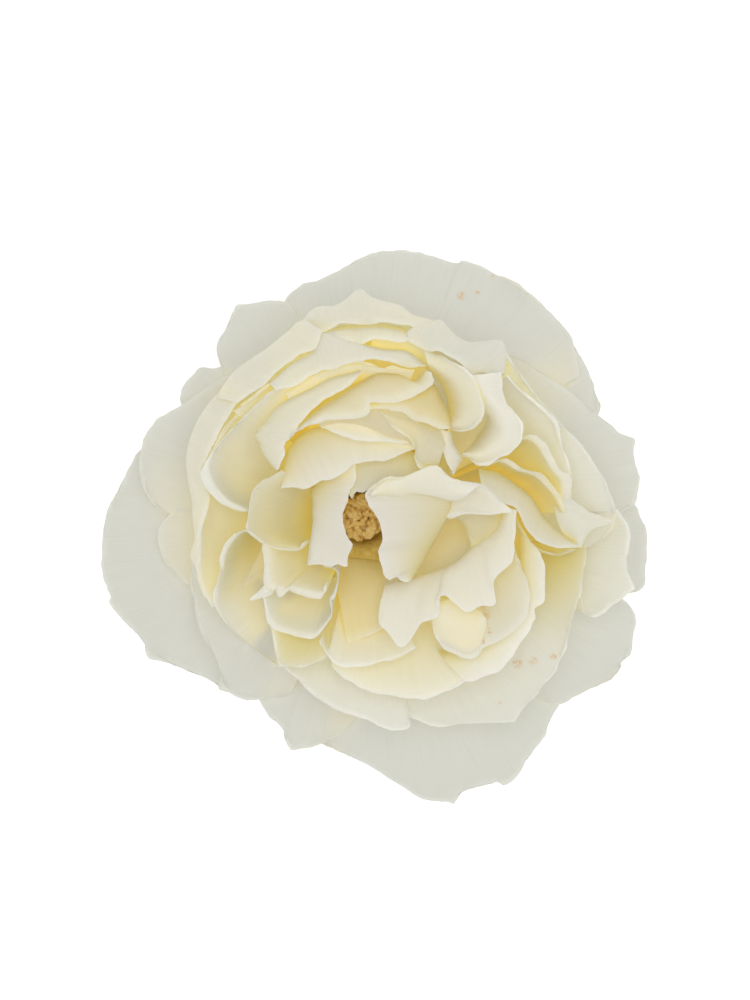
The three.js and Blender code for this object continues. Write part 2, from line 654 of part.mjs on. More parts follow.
// The middle angle of a petal round the axis, and the signed angle it spans
function bearing(petal) {
  const row = petal.fold ?? petal.rim;
  const angles = row.map(([x, y]) => Math.atan2(y - AXIS.y, x - AXIS.x));
  for (let i = 1; i < angles.length; i++) {
    while (angles[i] - angles[i - 1] > Math.PI) angles[i] -= 2 * Math.PI;
    while (angles[i] - angles[i - 1] < -Math.PI) angles[i] += 2 * Math.PI;
  }
  return { middle: (angles[0] + angles.at(-1)) / 2, span: angles.at(-1) - angles[0] };
}

function between(a, b, share, heightShare) {
  return new THREE.Vector3(mix(a.x, b.x, share), mix(a.y, b.y, share), mix(a.z, b.z, heightShare));
}

// The line that a petal follows from its claw (0) to its rim (1), at a share of its width
function profile(petal, across) {
  const { middle, span } = bearing(petal);
  const angle = middle + (2 * across - 1) * clamp(span / 2, -CLAW.halfAngle, CLAW.halfAngle);
  const radius = CLAW.widest - CLAW.narrowing * petal.tier;
  const claw = petal.root
    ? new THREE.Vector3(...along(petal.root, across), heightAt(petal.rootHeights, across))
    : new THREE.Vector3(
        AXIS.x + radius * Math.cos(angle),
        AXIS.y + radius * Math.sin(angle),
        CLAW.lowest + CLAW.step * petal.tier,
      );
  const rim = new THREE.Vector3(...along(petal.rim, across), heightAt(petal.rimHeights, across));
  if (!petal.fold) {
    const [share, height] = petal.middle;
    const through = between(claw, rim, share, 0).setZ(height);
    const pull = through.multiplyScalar(2).addScaledVector(claw, -0.5).addScaledVector(rim, -0.5);
    return new THREE.QuadraticBezierCurve3(claw, pull, rim);
  }
  const fold = new THREE.Vector3(...along(petal.fold, across), heightAt(petal.foldHeights, across));
  const rise = Math.max(rim.z - fold.z, 1.2);
  const lower = new THREE.CubicBezierCurve3(
    claw,
    between(claw, fold, 0.5, 0.28),
    between(claw, fold, 1, 0.55),
    fold,
  );
  const upper = new THREE.CubicBezierCurve3(
    fold,
    fold.clone().setZ(fold.z + 0.6 * rise),
    between(rim, fold, 0.5, 0).setZ(rim.z + 0.08 * rise),
    rim,
  );
  const getPoint = (v) => {
    if (v < FOLD_SHARE) return lower.getPoint(v / FOLD_SHARE);
    return upper.getPoint((v - FOLD_SHARE) / (1 - FOLD_SHARE));
  };
  return { getPoint };
}

function solidFrom(positions, triangles) {
  return new wasm.Manifold(
    new wasm.Mesh({
      numProp: 3,
      vertProperties: new Float32Array(positions),
      triVerts: new Uint32Array(triangles),
    }),
  );
}

function solidOf(geometry) {
  geometry.deleteAttribute("normal");
  geometry.deleteAttribute("uv");
  const merged = mergeVertices(geometry, 1e-4);
  return solidFrom(merged.attributes.position.array, merged.index.array);
}

// A closed blade round a grid of mid-surface points, split into triangles alike on both faces
function blade(rows, thickness) {
  const wide = rows[0].length;
  const tall = rows.length;
  const at = (i, j) => rows[clamp(j, 0, tall - 1)][clamp(i, 0, wide - 1)];
  const faces = [[], []];
  for (let j = 0; j < tall; j++) {
    for (let i = 0; i < wide; i++) {
      const across = at(i + 1, j).clone().sub(at(i - 1, j));
      const up = at(i, j + 1).clone().sub(at(i, j - 1));
      const normal = across.cross(up).normalize();
      const middle = at(i, j);
      const lies = middle.z <= LYING;
      if (lies) normal.set(0, 0, Math.sign(normal.z) || 1);
      for (const side of [0, 1]) {
        const point = middle.clone().addScaledVector(normal, (side - 0.5) * thickness);
        if (lies) point.z = normal.z * (side - 0.5) > 0 ? thickness : 0;
        point.z = Math.max(point.z, 0);
        faces[side].push(point.x, point.y, point.z);
      }
    }
  }
  const back = wide * tall;
  const index = (i, j) => j * wide + i;
  const triangles = [];
  const quad = (a, b, c, d) => triangles.push(a, b, c, a, c, d);
  for (let j = 0; j < tall - 1; j++) {
    for (let i = 0; i < wide - 1; i++) {
      const [a, b, c, d] = [index(i, j), index(i + 1, j), index(i + 1, j + 1), index(i, j + 1)];
      quad(back + a, back + b, back + c, back + d);
      triangles.push(a, c, b, a, d, c);
    }
  }
  for (let i = 0; i < wide - 1; i++) {
    quad(index(i, 0), index(i + 1, 0), back + index(i + 1, 0), back + index(i, 0));
    const [near, far] = [index(i, tall - 1), index(i + 1, tall - 1)];
    quad(far, near, back + near, back + far);
  }
  for (let j = 0; j < tall - 1; j++) {
    quad(index(0, j + 1), index(0, j), back + index(0, j), back + index(0, j + 1));
    const [low, high] = [index(wide - 1, j), index(wide - 1, j + 1)];
    quad(low, high, back + high, back + low);
  }
  return solidFrom([...faces[0], ...faces[1]], triangles);
}

function outlineLength(outline) {
  let length = 0;
  for (let i = 1; i < outline.length; i++) {
    length += Math.hypot(outline[i][0] - outline[i - 1][0], outline[i][1] - outline[i - 1][1]);
  }
  return length;
}

function petalSolid(petal) {
  const columns = clamp(Math.round(outlineLength(petal.rim) / 8), 4, 9);
  const steps = petal.fold ? 5 : 4;
  const rows = Array.from({ length: steps + 1 }, () => []);
  for (let i = 0; i <= columns; i++) {
    const line = profile(petal, i / columns);
    for (let j = 0; j <= steps; j++) {
      const point = line.getPoint(j / steps);
      point.z = Math.max(point.z, LYING);
      rows[j].push(point);
    }
  }
  return blade(rows, PETAL_THICKNESS);
}

function receptacleSolid() {
  const outline = RECEPTACLE.map(([radius, height]) => new THREE.Vector2(radius, height));
  const lathe = new THREE.LatheGeometry(outline, 20);
  lathe.rotateX(Math.PI / 2).translate(AXIS.x, AXIS.y, 0);
  return solidOf(lathe);
}

// The fused body alone: hollows that the petals seal between them are filled, and loose scraps dropped
function oneBody(solid) {
  const bodies = solid.decompose().sort((a, b) => b.volume() - a.volume());
  return bodies[0];
}

// Repeatable numbers from 0 to 1
function seededRandom(seed) {
  let state = seed;
  return () => {
    state = (state * 1103515245 + 12345) % 2147483648;
    return state / 2147483648;
  };
}

function meshFrom(name, solid, colour, roughness) {
  const { vertProperties, triVerts } = solid.getMesh();
  const geometry = new THREE.BufferGeometry();
  geometry.setAttribute("position", new THREE.BufferAttribute(vertProperties, 3));
  geometry.setIndex(new THREE.BufferAttribute(triVerts, 1));
  const material = new THREE.MeshStandardMaterial({ color: colour, roughness, metalness: 0 });
  const mesh = new THREE.Mesh(geometry, material);
  mesh.name = name;
  return mesh;
}

// Petals, in their layers, joined where their claws sink into the receptacle
function petals() {
  const blades = Object.values(PETALS).map(petalSolid);
  const fused = wasm.Manifold.union([receptacleSolid(), ...blades]);
  return meshFrom("petals", oneBody(fused), 0xf3efdc, 0.55);
}

// Stamens: a ring of threads that lean apart, each with its anther, on one low foot
function stamens() {
  const random = seededRandom(STAMEN.seed);
  const floor = PIT_FLOOR + GAP;
  const ring = wasm.Manifold.cylinder(STAMEN.footHeight, STAMEN.footOuter, STAMEN.footOuter, 20)
    .subtract(wasm.Manifold.cylinder(STAMEN.footHeight, STAMEN.footInner, STAMEN.footInner, 20))
    .translate([AXIS.x, AXIS.y, floor]);
  const parts = [ring];
  for (let i = 0; i < STAMEN.count; i++) {
    const angle = ((i + 0.5 * random()) / STAMEN.count) * 2 * Math.PI;
    const foot = mix(STAMEN.footInner + 0.5, STAMEN.footOuter - 0.5, random());
    const lean = foot + STAMEN.spread * (0.4 + 0.6 * random());
    const height = STAMEN.height * (0.78 + 0.22 * random());
    const low = radial(angle, foot, floor + 0.2);
    const high = radial(angle, lean, floor + height);
    parts.push(thread(low, high, STAMEN.thread), anther(high, angle));
  }
  return meshFrom("stamens", oneBody(wasm.Manifold.union(parts)), 0xc98a2b, 0.6);
}

function radial(angle, radius, height) {
  return new THREE.Vector3(AXIS.x + radius * Math.cos(angle), AXIS.y + radius * Math.sin(angle), height);
}

// A three-sided thread between two points
function thread(low, high, radius) {
  const bar = new THREE.CylinderGeometry(radius * 0.8, radius, low.distanceTo(high), 3);
  const turn = new THREE.Quaternion().setFromUnitVectors(
    new THREE.Vector3(0, 1, 0),
    high.clone().sub(low).normalize(),
  );
  const centre = low.clone().lerp(high, 0.5);
  bar.applyQuaternion(turn).translate(centre.x, centre.y, centre.z);
  return solidOf(bar);
}

// A bean shaped anther with its long side across the thread
function anther(tip, angle) {
  const bean = new THREE.OctahedronGeometry(STAMEN.anther);
  bean.scale(0.75, 1.15, 0.75).rotateZ(angle).translate(tip.x, tip.y, tip.z);
  return solidOf(bean);
}

// The knot of styles that stands in the middle of the stamens
function styles() {
  const height = STYLES.height;
  const outline = [
    [0, 0],
    [STYLES.radius * 0.8, 0],
    [STYLES.radius * 0.8, height * 0.6],
    [STYLES.radius, height * 0.75],
    [STYLES.radius * 0.7, height],
    [0, height],
  ];
  const knot = new THREE.LatheGeometry(outline.map(([radius, z]) => new THREE.Vector2(radius, z)), 14);
  knot.rotateX(Math.PI / 2).translate(AXIS.x, AXIS.y, PIT_FLOOR + GAP);
  return meshFrom("styles", solidOf(knot), 0xd9c98a, 0.6);
}

// Hip with its cut stub below, and the sepals turned down round it
function calyx() {
  const top = RECEPTACLE[0][1] - GAP;
  const outline = [
    [0, 0],
    [HIP.stubRadius, 0],
    [HIP.stubRadius, HIP.stubTop],
    [HIP.wide, HIP.wideHeight - 2],
    [HIP.wide, HIP.wideHeight],
    [HIP.neck, HIP.neckHeight],
    [HIP.rim, top],
    [0, top],
  ];
  const hip = new THREE.LatheGeometry(outline.map(([radius, z]) => new THREE.Vector2(radius, z)), 24);
  hip.rotateX(Math.PI / 2).translate(AXIS.x, AXIS.y, 0);
  const sepals = Array.from({ length: SEPAL.count }, (_, i) => sepal(SEPAL.turn + (i * 2 * Math.PI) / SEPAL.count));
  return meshFrom("calyx", oneBody(wasm.Manifold.union([solidOf(hip), ...sepals])), 0x7d9257, 0.7);
}

// A pointed sepal that leaves the hip's rim, arches out and droops to its tip
function sepal(angle) {
  const columns = 4;
  const steps = 8;
  const side = new THREE.Vector3(-Math.sin(angle), Math.cos(angle), 0);
  const rows = [];
  for (let j = 0; j <= steps; j++) {
    const share = j / steps;
    const width = SEPAL.halfWidth * Math.sin(Math.PI * mix(0.28, 0.96, share));
    const height = SEPAL.root - SEPAL.droop * share ** 2;
    const spine = radial(angle, mix(SEPAL.inner, SEPAL.length, share), height);
    const row = [];
    for (let i = 0; i <= columns; i++) {
      const across = (2 * i) / columns - 1;
      const point = spine.clone().addScaledVector(side, across * width);
      point.z -= SEPAL.hollow * across ** 2;
      row.push(point);
    }
    rows.push(row);
  }
  return blade(rows, SEPAL.thickness);
}

const rose = new THREE.Group();
rose.add(petals(), stamens(), styles(), calyx());

// The origin is moved to the middle of the outline
const outlineMiddle = new THREE.Box3().setFromObject(rose, true).getCenter(new THREE.Vector3());
rose.position.set(-outlineMiddle.x, -outlineMiddle.y, 0);
export default rose;
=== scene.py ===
# %% [markdown]
# # A white garden rose, cut and laid face up
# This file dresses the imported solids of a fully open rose. The solids already hold every petal in its
# place, so this lesson only makes the petals finer, thinner and softer, and gives them their colour.
# The bloom lies on a pale table and the camera looks straight down on it, as in the photograph.

import math
import random

import bmesh
import bpy
import numpy as np
from mathutils import Matrix, Vector, noise
from mathutils.bvhtree import BVHTree


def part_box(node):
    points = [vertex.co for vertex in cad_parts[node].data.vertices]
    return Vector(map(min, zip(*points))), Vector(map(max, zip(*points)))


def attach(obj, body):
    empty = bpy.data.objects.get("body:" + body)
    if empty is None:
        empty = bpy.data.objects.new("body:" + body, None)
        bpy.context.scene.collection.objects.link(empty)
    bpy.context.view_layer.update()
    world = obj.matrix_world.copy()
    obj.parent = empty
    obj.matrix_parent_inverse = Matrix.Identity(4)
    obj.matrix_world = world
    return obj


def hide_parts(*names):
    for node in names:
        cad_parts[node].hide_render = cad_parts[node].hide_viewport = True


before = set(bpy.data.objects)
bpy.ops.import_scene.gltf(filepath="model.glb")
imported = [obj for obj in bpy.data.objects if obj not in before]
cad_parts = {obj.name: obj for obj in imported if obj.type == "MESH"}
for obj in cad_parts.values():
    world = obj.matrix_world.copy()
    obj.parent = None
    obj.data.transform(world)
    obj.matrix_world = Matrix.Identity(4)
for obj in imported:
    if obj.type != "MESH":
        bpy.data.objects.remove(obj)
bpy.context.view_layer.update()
scene = bpy.context.scene
MM = 0.001

# %% [markdown]
# ## Camera
# The photograph looks straight down, and its sides show no perspective to speak of. A long lens, far
# away, gives that flat look. The frame is 1000 pixels high and stands for 200 mm of table.

# %% A long lens above the bloom
LENS = 300
SENSOR = 36
FRAME_HEIGHT = 200 * MM
SHARP_HEIGHT = 12 * MM
FRAME_MIDDLE = (0.05 * MM, 5.58 * MM)

camera_data = bpy.data.cameras.new("camera")
camera_data.lens = LENS
camera_data.sensor_fit = "VERTICAL"
camera_data.sensor_height = SENSOR
camera = bpy.data.objects.new("camera", camera_data)
scene.collection.objects.link(camera)
camera.location = (*FRAME_MIDDLE, SHARP_HEIGHT + FRAME_HEIGHT * LENS / SENSOR)
scene.camera = camera
print("camera height in metres:", round(camera.location.z, 3))

# %% [markdown]
# ## Table and light
# The background of the photograph is a plain white. A wide pale table under an even sky gives it,
# and one large soft lamp, nearly overhead, adds the faint shading on the petals.

# %% A pale table
table_mesh = bpy.data.meshes.new("table")
sheet = bmesh.new()
bmesh.ops.create_grid(sheet, x_segments=1, y_segments=1, size=3)
sheet.to_mesh(table_mesh)
sheet.free()
table = bpy.data.objects.new("table", table_mesh)
scene.collection.objects.link(table)
table_paint = bpy.data.materials.new("table_paint")
table_paint.use_nodes = True
table_shader = table_paint.node_tree.nodes["Principled BSDF"]
table_shader.inputs["Base Color"].default_value = (0.93, 0.93, 0.93, 1)
table_shader.inputs["Roughness"].default_value = 0.9
table_shader.inputs["Specular IOR Level"].default_value = 0.0
table_shader.inputs["Emission Color"].default_value = (1, 1, 1, 1)
table_shader.inputs["Emission Strength"].default_value = 0.45
table_paint.cycles.emission_sampling = "NONE"
table_mesh.materials.append(table_paint)

# %% Even sky and one soft lamp
SKY_STRENGTH = 0.64
LAMP_SIZE, LAMP_POWER = 0.8, 4.2
scene.view_settings.view_transform = "Standard"
sky = bpy.data.worlds.new("sky")
scene.world = sky
sky.use_nodes = True
sky.node_tree.nodes["Background"].inputs["Color"].default_value = (1.0, 1.0, 1.0, 1)
sky.node_tree.nodes["Background"].inputs["Strength"].default_value = SKY_STRENGTH

LAMP_PLACE = Vector((0.05, 0.02, 1.1))
lamp_data = bpy.data.lights.new("soft_lamp", "AREA")
lamp_data.size = LAMP_SIZE
lamp_data.energy = LAMP_POWER
lamp = bpy.data.objects.new("soft_lamp", lamp_data)
scene.collection.objects.link(lamp)
lamp.location = LAMP_PLACE
lamp.rotation_euler = (-LAMP_PLACE).to_track_quat("-Z", "Y").to_euler()
scene.cycles.max_bounces = 8
scene.cycles.diffuse_bounces = 6
scene.cycles.transmission_bounces = 6

# %% [markdown]
# ## Where the petals stand
# Every petal grows from the receptacle, a small core over the hip. Its claw, the narrow foot, is sunk
# in there. The list below gives each petal in millimetres, as in the solids. A rim is the free edge
# seen from above, from side to side, with its heights evenly spaced along it. A petal that curves in
# over the middle also has a fold, the widest line that is seen from above. A petal that opens
# outwards has a middle instead, "mid": a share of the way out, and the height there, once or for both
# of its sides. "tier" says how far in and how high up it grows, unless "root" gives its foot outright.
# "band" is the width of the pale lip, "turn" what of it is folded over, and the third setting how golden
# the petal is below its rim, each from side to side. The pale lip is partly the paler edge of the petal
# and partly a painted highlight where it catches the light. The gold is partly the yellow of the foot and
# partly painted shade under the petals that lie over it.

# %% The petals, from the outermost ring inwards, with what lies between them last
PETALS = {
    "skirt_top": dict(
        tier=1, mid=(0.5, 13.1), rim_z=[3, 1, 0.5, 0, 1, 2, 3.5],
        rim=[
            (-20.5, 40), (-18.2, 45.4), (-15, 48.6), (-10.6, 49.8), (-6.8, 51.8), (-1.8, 54.8),
            (4.8, 55.8), (10, 55), (13, 54), (16.6, 52.9), (17.6, 53.8), (21, 52.6), (25, 50.6),
            (28.2, 49.4), (32, 46.2), (37, 41.4), (39.8, 37.4), (41, 30.4),
        ],
    ),
    "skirt_top_under": dict(
        tier=0, mid=(0.5, 11.4), rim_z=[1.5, 0.5, 0.3, 1, 2],
        rim=[(32, 36), (38.5, 37.5), (40.8, 35.4), (43, 31.4), (44.4, 27), (45.2, 23.6), (43, 19)],
    ),
    "skirt_upper_left": dict(
        tier=1.4, mid=(0.5, 13.8), rim_z=[8, 6.5, 5.5, 6, 7.5],
        rim=[
            (-29, 27), (-30.8, 32.2), (-31.8, 35.6), (-31.4, 37.4), (-30.4, 39), (-29.2, 41.4),
            (-28.4, 43.6), (-27.6, 44.8), (-26, 44.6), (-23, 45.2), (-21, 45.4), (-18.4, 45.2),
            (-17, 44.8), (-16, 43.4), (-15.6, 41.8), (-15.4, 40.6),
        ],
    ),
    "skirt_left_small": dict(
        tier=0.6, mid=(0.5, 12.2), rim_z=[4.5, 3.5, 3.5, 5],
        rim=[
            (-36, 18), (-38.8, 24.4), (-39, 27.4), (-38.4, 28.6), (-37, 30), (-35.6, 31.8), (-34, 32),
            (-32, 31.8), (-28, 34),
        ],
    ),
    "skirt_left_upper": dict(
        tier=2.2, mid=(0.5, 14.6), rim_z=[11, 9, 8, 8, 10],
        rim=[
            (-26, 31), (-31, 29.8), (-35, 27), (-38.8, 24.4), (-41.6, 22.8), (-43.6, 21.6), (-45, 20),
            (-46.2, 18.4), (-46.8, 16), (-47.2, 13.4), (-47.2, 11.4), (-46.6, 8.4), (-45.8, 6.6),
            (-44.6, 4.8), (-43, 3.6), (-41.6, 2.8),
        ],
    ),
    "skirt_left_lobe": dict(
        tier=1.4, mid=(0.5, 14.4), rim_z=[11, 10.5, 10.5, 11],
        rim=[
            (-38, 4.6), (-41, 2.6), (-42.4, 1), (-43.4, -1), (-43.4, -3.6), (-42.6, -5.6), (-41, -8.6),
            (-36, -13),
        ],
    ),
    "skirt_left": dict(
        tier=0, mid=(0.5, 12), rim_z=[4, 1.5, 0.5, 0, 0, 1, 2],
        rim=[
            (-42, 17), (-46.8, 15.8), (-49.4, 12.2), (-51.6, 7.6), (-53.8, 3.6), (-54.8, -1), (-55, -5),
            (-55, -9), (-54.6, -11), (-53.2, -14), (-53.8, -15.2), (-52.6, -16.6), (-49.4, -20.4),
            (-47.4, -21.6), (-46.6, -23), (-46.4, -24.6), (-45.8, -26.2), (-44.6, -26.8), (-42, -27.4),
            (-37, -29.2), (-34, -30.2), (-31.2, -32.2),
        ],
    ),
    "skirt_lower_left": dict(
        tier=2.6, mid=(0.62, 17.2), rim_z=[16, 15, 14, 11.5, 9, 8, 9],
        rim=[
            (-35, -3), (-36.6, -7.2), (-36.8, -9.6), (-36.6, -12.6), (-36, -14.6), (-35.8, -17.6),
            (-35, -20.6), (-33.6, -23.2), (-32, -25.6), (-31, -28.2), (-30.8, -30.6), (-31.4, -32.4),
            (-30.6, -32.8), (-29, -33.2), (-27.6, -34.2), (-25.6, -34.8), (-23.8, -34.6), (-17, -34),
        ],
    ),
    "skirt_bottom_left": dict(
        tier=1, mid=(0.5, 14), rim_z=[8, 6, 6, 6, 8],
        rim=[
            (-24, -28), (-23.5, -34), (-22.8, -35.6), (-22, -37), (-21.2, -38.4), (-19.6, -39.2),
            (-18.2, -40.6), (-18.2, -42.2), (-17.6, -43.6), (-16.8, -44.8), (-15, -44.6), (-13, -44.2),
            (-11.2, -43.6), (-8, -42), (-5.6, -40.2), (-1, -36),
        ],
    ),
    "skirt_bottom": dict(
        tier=0, mid=(0.5, 11.6), rim_z=[2, 1, 0.5, 0, 0, 0, 1, 2],
        rim=[
            (-14, -42), (-11.2, -43.4), (-8, -44.8), (-5, -46.2), (-0.6, -48.4), (3, -50.8), (8, -54),
            (11, -55.2), (14.4, -55.4), (15.8, -55.8), (16.8, -54.6), (17.6, -53.2), (18.8, -52.6),
            (21, -52.2), (24.6, -51.4), (25.6, -52.2), (27, -51.8), (29, -50), (30.8, -46.4), (33, -43.6),
            (34.2, -42.2), (34.8, -40.2), (35.4, -38.4), (37, -35.8),
        ],
    ),
    "skirt_lower_right": dict(
        tier=1, mid=(0.5, 13), rim_z=[5, 4, 3.5, 4, 5],
        rim=[
            (32, -34), (37, -35.8), (41, -33.6), (45, -31.8), (48, -30.2), (49.6, -28), (49.2, -27.2),
            (51, -26), (51.7, -24.6), (51.8, -22), (52.4, -20.2), (52.2, -17.6), (51, -15.6),
            (49.4, -14.4),
        ],
    ),
    "skirt_right_under": dict(
        tier=0, mid=(0.5, 11.4), rim_z=[2.5, 1, 1, 1.5],
        rim=[
            (46, -15), (50.6, -13.4), (53, -13), (54.2, -12), (54.6, -10.6), (54.4, -8.6), (54.8, -5.6),
            (54.6, -0.6), (54, 1), (53.2, 2.4), (52.4, 4.4), (47, 9),
        ],
    ),
    "skirt_right": dict(
        tier=2, mid=(0.5, 14.4), rim_z=[12.5, 10, 8.5, 7.5, 7, 6.5, 7],
        rim=[
            (24, 34.5), (29, 34), (35, 29.8), (40, 26.4), (44.8, 22.4), (47.4, 20.2), (48.6, 19),
            (51.4, 18), (52.4, 17.4), (51.8, 15), (52.6, 11.8), (53.2, 10), (53, 8), (52.2, 4.6),
            (51, 3.8), (46, 1),
        ],
    ),
    "skirt_right_inner": dict(
        tier=3, mid=(0.62, 12.4, 0.7, 12.4), rim_z=[21, 18, 16, 15, 16, 17],
        rim=[
            (42, 3), (46.6, 3), (48, 3.8), (49, 2.4), (50.2, 0.8), (50.8, -1.6), (50.6, -4.6), (50, -6.6),
            (50.2, -8.2), (51, -10.2), (52, -12), (51.6, -12.6), (49.4, -14.4), (47.4, -15.6),
            (45.8, -17), (44.6, -17.8), (43.4, -18), (42.4, -17.4), (41.6, -16.2), (40.8, -13),
        ],
    ),
    "bowl_top": dict(
        tier=4, fold_z=[19, 20, 20, 21, 22], rim_z=[27, 29, 30, 30, 29],
        fold=[
            (-16, 38), (-13.6, 42), (-12.4, 43.2), (-10.6, 43.8), (-8.4, 43.8), (-6, 45), (-3.8, 47),
            (-2.4, 47.2), (-1, 45.8), (2, 44.8), (5, 44), (7.4, 42.2), (10, 41.4), (13, 40.4),
        ],
        rim=[
            (-14, 36), (-10.6, 38.6), (-8, 39.6), (-5, 40.2), (-1, 40.4), (3, 40.4), (5.6, 40),
            (7.6, 39.4), (12, 37),
        ],
    ),
    "bowl_top_inner": dict(
        tier=4.2, fold_z=[27, 27, 27], rim_z=[31, 32, 32],
        fold=[
            (-10.6, 38.2), (-7.6, 39.2), (-4.2, 39.7), (-0.6, 39.8), (3.4, 39.6), (5.8, 38.8), (7, 37.8),
        ],
        rim=[(-9.8, 37.2), (-7.6, 37.1), (-5, 36.7), (-3, 36.3), (0.2, 37), (3.8, 36.8), (6.8, 36.8)],
    ),
    "bowl_top_band": dict(
        tier=5, fold_z=[26, 28, 29, 29, 30], rim_z=[34, 35, 36, 36, 34],
        fold=[
            (-21, 28.5), (-17, 32.6), (-15, 33.8), (-12.2, 35.6), (-10.2, 38.4), (-6.4, 37.6), (-3, 36.4),
            (0, 35.6), (3, 35.2), (6, 35), (8, 33.8), (10.4, 31.8),
        ],
        rim=[
            (-19.4, 27), (-17, 27.6), (-14, 29), (-11.4, 30.4), (-9, 31.4), (-6, 32.2), (-3, 32.8),
            (0, 33), (3, 32.6), (5.4, 32), (7.4, 31.6), (10, 31.8),
        ],
    ),
    "bowl_upper_left": dict(
        tier=4.8, fold_z=[24, 24, 24, 24, 23.5], rim_z=[31, 32, 31, 30, 29],
        fold=[
            (-14, 41), (-15.4, 40.6), (-17, 39), (-19, 37.4), (-22, 35), (-25, 33), (-28, 30.6),
            (-30, 28), (-31.4, 25.6),
        ],
        rim=[
            (-10.4, 38.8), (-11.4, 36.4), (-12.2, 35.2), (-15, 34), (-17, 32.6), (-19, 31), (-21, 29.2),
            (-22.6, 27.8), (-25, 26.2), (-27, 24.6),
        ],
    ),
    "bowl_left": dict(
        tier=4, fold_z=[21, 20.5, 20, 19.5, 19], rim_z=[28, 27, 26, 25, 21],
        fold=[
            (-28.5, 28), (-32.6, 25), (-36, 19.5), (-37.4, 14), (-37, 9), (-36.3, 5.4), (-36.1, 1.4),
            (-35.8, -2.3), (-36.6, -5.9), (-35.8, -7.5), (-35.2, -10.4), (-34, -13.6),
        ],
        rim=[
            (-25.6, 25.8), (-28.1, 23.5), (-30.8, 19), (-33, 14.5), (-34.4, 11.3), (-33.8, 8.6),
            (-32.9, 5.4), (-33.7, 1.8), (-34.5, -1.8), (-34.8, -5), (-34.9, -8.6), (-34.4, -11.3),
            (-33.6, -14),
        ],
    ),
    "bowl_left_lipped": dict(
        tier=4.8, mid=(0.76, 30.4, 0.62, 18), band=(0.1, 0.1, 0.1, 0.1, 2.4, 2.8),
        turn=(0.1, 0.1, 0.1, 0.2, 2.2, 2.4), rim_z=[33, 32, 30.5, 29, 29, 29.5, 30],
        rim=[
            (-8, 31.4), (-11.4, 30.4), (-15.4, 29.2), (-19.4, 27.6), (-22.6, 25), (-25.8, 21.8),
            (-29.4, 18.2), (-32.6, 14), (-34.2, 11.8), (-34.4, 10.4), (-33.5, 8.1), (-32.5, 6.6),
            (-31, 5), (-29.4, 4.3), (-27.9, 3.5), (-26.3, 3.2), (-24.9, 3.5), (-23.1, 4),
        ],
    ),
    "bowl_lower_left": dict(
        tier=4.8, mid=(0.62, 15.4, 0.62, 18.6), band=(1.2, 1, 0.3, 0.1, 0.1, 0.1),
        turn=(1, 0.8, 0.2, 0.1, 0.1, 0.1), foot_gold_and_shade=(2, 1.2, 0.3, 0, 0, 0),
        rim_z=[32, 31, 27, 21, 17, 16, 17],
        rim=[
            (-22.4, -3.1), (-24.9, -1), (-26, -0.6), (-27.6, -1), (-29, -2.3), (-30.1, -4.1),
            (-30.6, -5.9), (-30.4, -8.1), (-31.1, -10.4), (-32, -13.1), (-31.7, -16), (-29.9, -18.8),
            (-27.4, -21.4), (-22.4, -25.6), (-18, -28.2), (-12, -26),
        ],
    ),
    "bowl_bottom_left": dict(
        tier=4.2, mid=(0.55, 17.2), rim_z=[21, 20, 18.5, 18, 18.5],
        rim=[
            (-18, -28.2), (-15, -30.6), (-13, -32.6), (-11.4, -34), (-9, -35.6), (-6, -37), (-4, -37.6),
            (-1, -38.6), (1, -39.6), (3.4, -40.4), (5.4, -40.4), (6.6, -40.2), (7, -39.4), (6.6, -38),
            (6.8, -37.2),
        ],
    ),
    "bowl_bottom_right": dict(
        tier=3, mid=(0.6, 16.4, 0.58, 16), band=(0.5, 0.3), turn=(0.4, 0.3), foot_gold_and_shade=(0, 0, 0, 0, 0.7, 2),
        rim_z=[16, 14.5, 14, 14, 15, 18, 20, 21, 22],
        rim=[
            (6.4, -37.4), (11, -39.6), (14, -39.8), (17, -39.4), (21, -39.2), (25, -39), (28, -39),
            (28.4, -38), (29.4, -36.6), (31, -34.6), (32.6, -33), (33.2, -31.6), (35, -30.2),
            (36.2, -28.6), (36.6, -27), (38, -24.2), (38.6, -20), (40, -16), (41, -12), (41.6, -8),
            (42, -3.6),
        ],
    ),
    "bowl_right": dict(
        tier=4.2, mid=(0.74, 19.4), band=(0.4, 0.3), turn=(0.3, 0.3), rim_z=[25, 24, 22, 20.5, 18.5, 17],
        rim=[
            (26, 34.4), (28, 31.6), (30.2, 28.6), (32.4, 25.6), (34.9, 22.9), (37, 20.4), (40.4, 17.1),
            (42.9, 13.7), (45.4, 10), (47.1, 6.2), (47.9, 3), (47, -1), (43, -4),
        ],
    ),
    "bowl_right_inner": dict(
        tier=4.6, mid=(0.74, 22.4), band=(0.7, 0.7), turn=(0.4, 0.4), rim_z=[29, 28, 27, 25, 23],
        rim=[
            (26.2, 30.2), (28.4, 27.8), (31.8, 24.8), (34.4, 22.6), (36.3, 20.4), (36.8, 16.6),
            (38.8, 11.6), (39, 8.4), (38, 5),
        ],
    ),
    "bowl_upper_right": dict(
        tier=5, fold_z=[31, 28, 26, 25, 27], rim_z=[32, 33, 34, 34, 32],
        fold=[
            (6.2, 37.8), (6.6, 38.8), (8, 39.6), (11, 40.4), (13, 41), (14.4, 39.4), (16, 38), (17.6, 37),
            (19, 36.6), (21, 36.8), (25, 37), (25.8, 34), (25.4, 30.4),
        ],
        rim=[
            (6.2, 37.6), (6.6, 36.8), (9, 35.6), (11, 35), (13, 34.4), (15, 33.2), (17, 32.2), (19, 30.4),
            (20.6, 30.8), (23, 30.2),
        ],
    ),
    "heart_upper_left": dict(
        tier=6, foot_gold_and_shade=(0.3, 0.3), fold_z=[35, 33, 31, 31, 32], rim_z=[37, 38, 39, 39, 37],
        fold=[
            (-19.2, 11.2), (-20.4, 12.4), (-22, 14.8), (-23, 17.2), (-23.6, 18.2), (-22.6, 19.4),
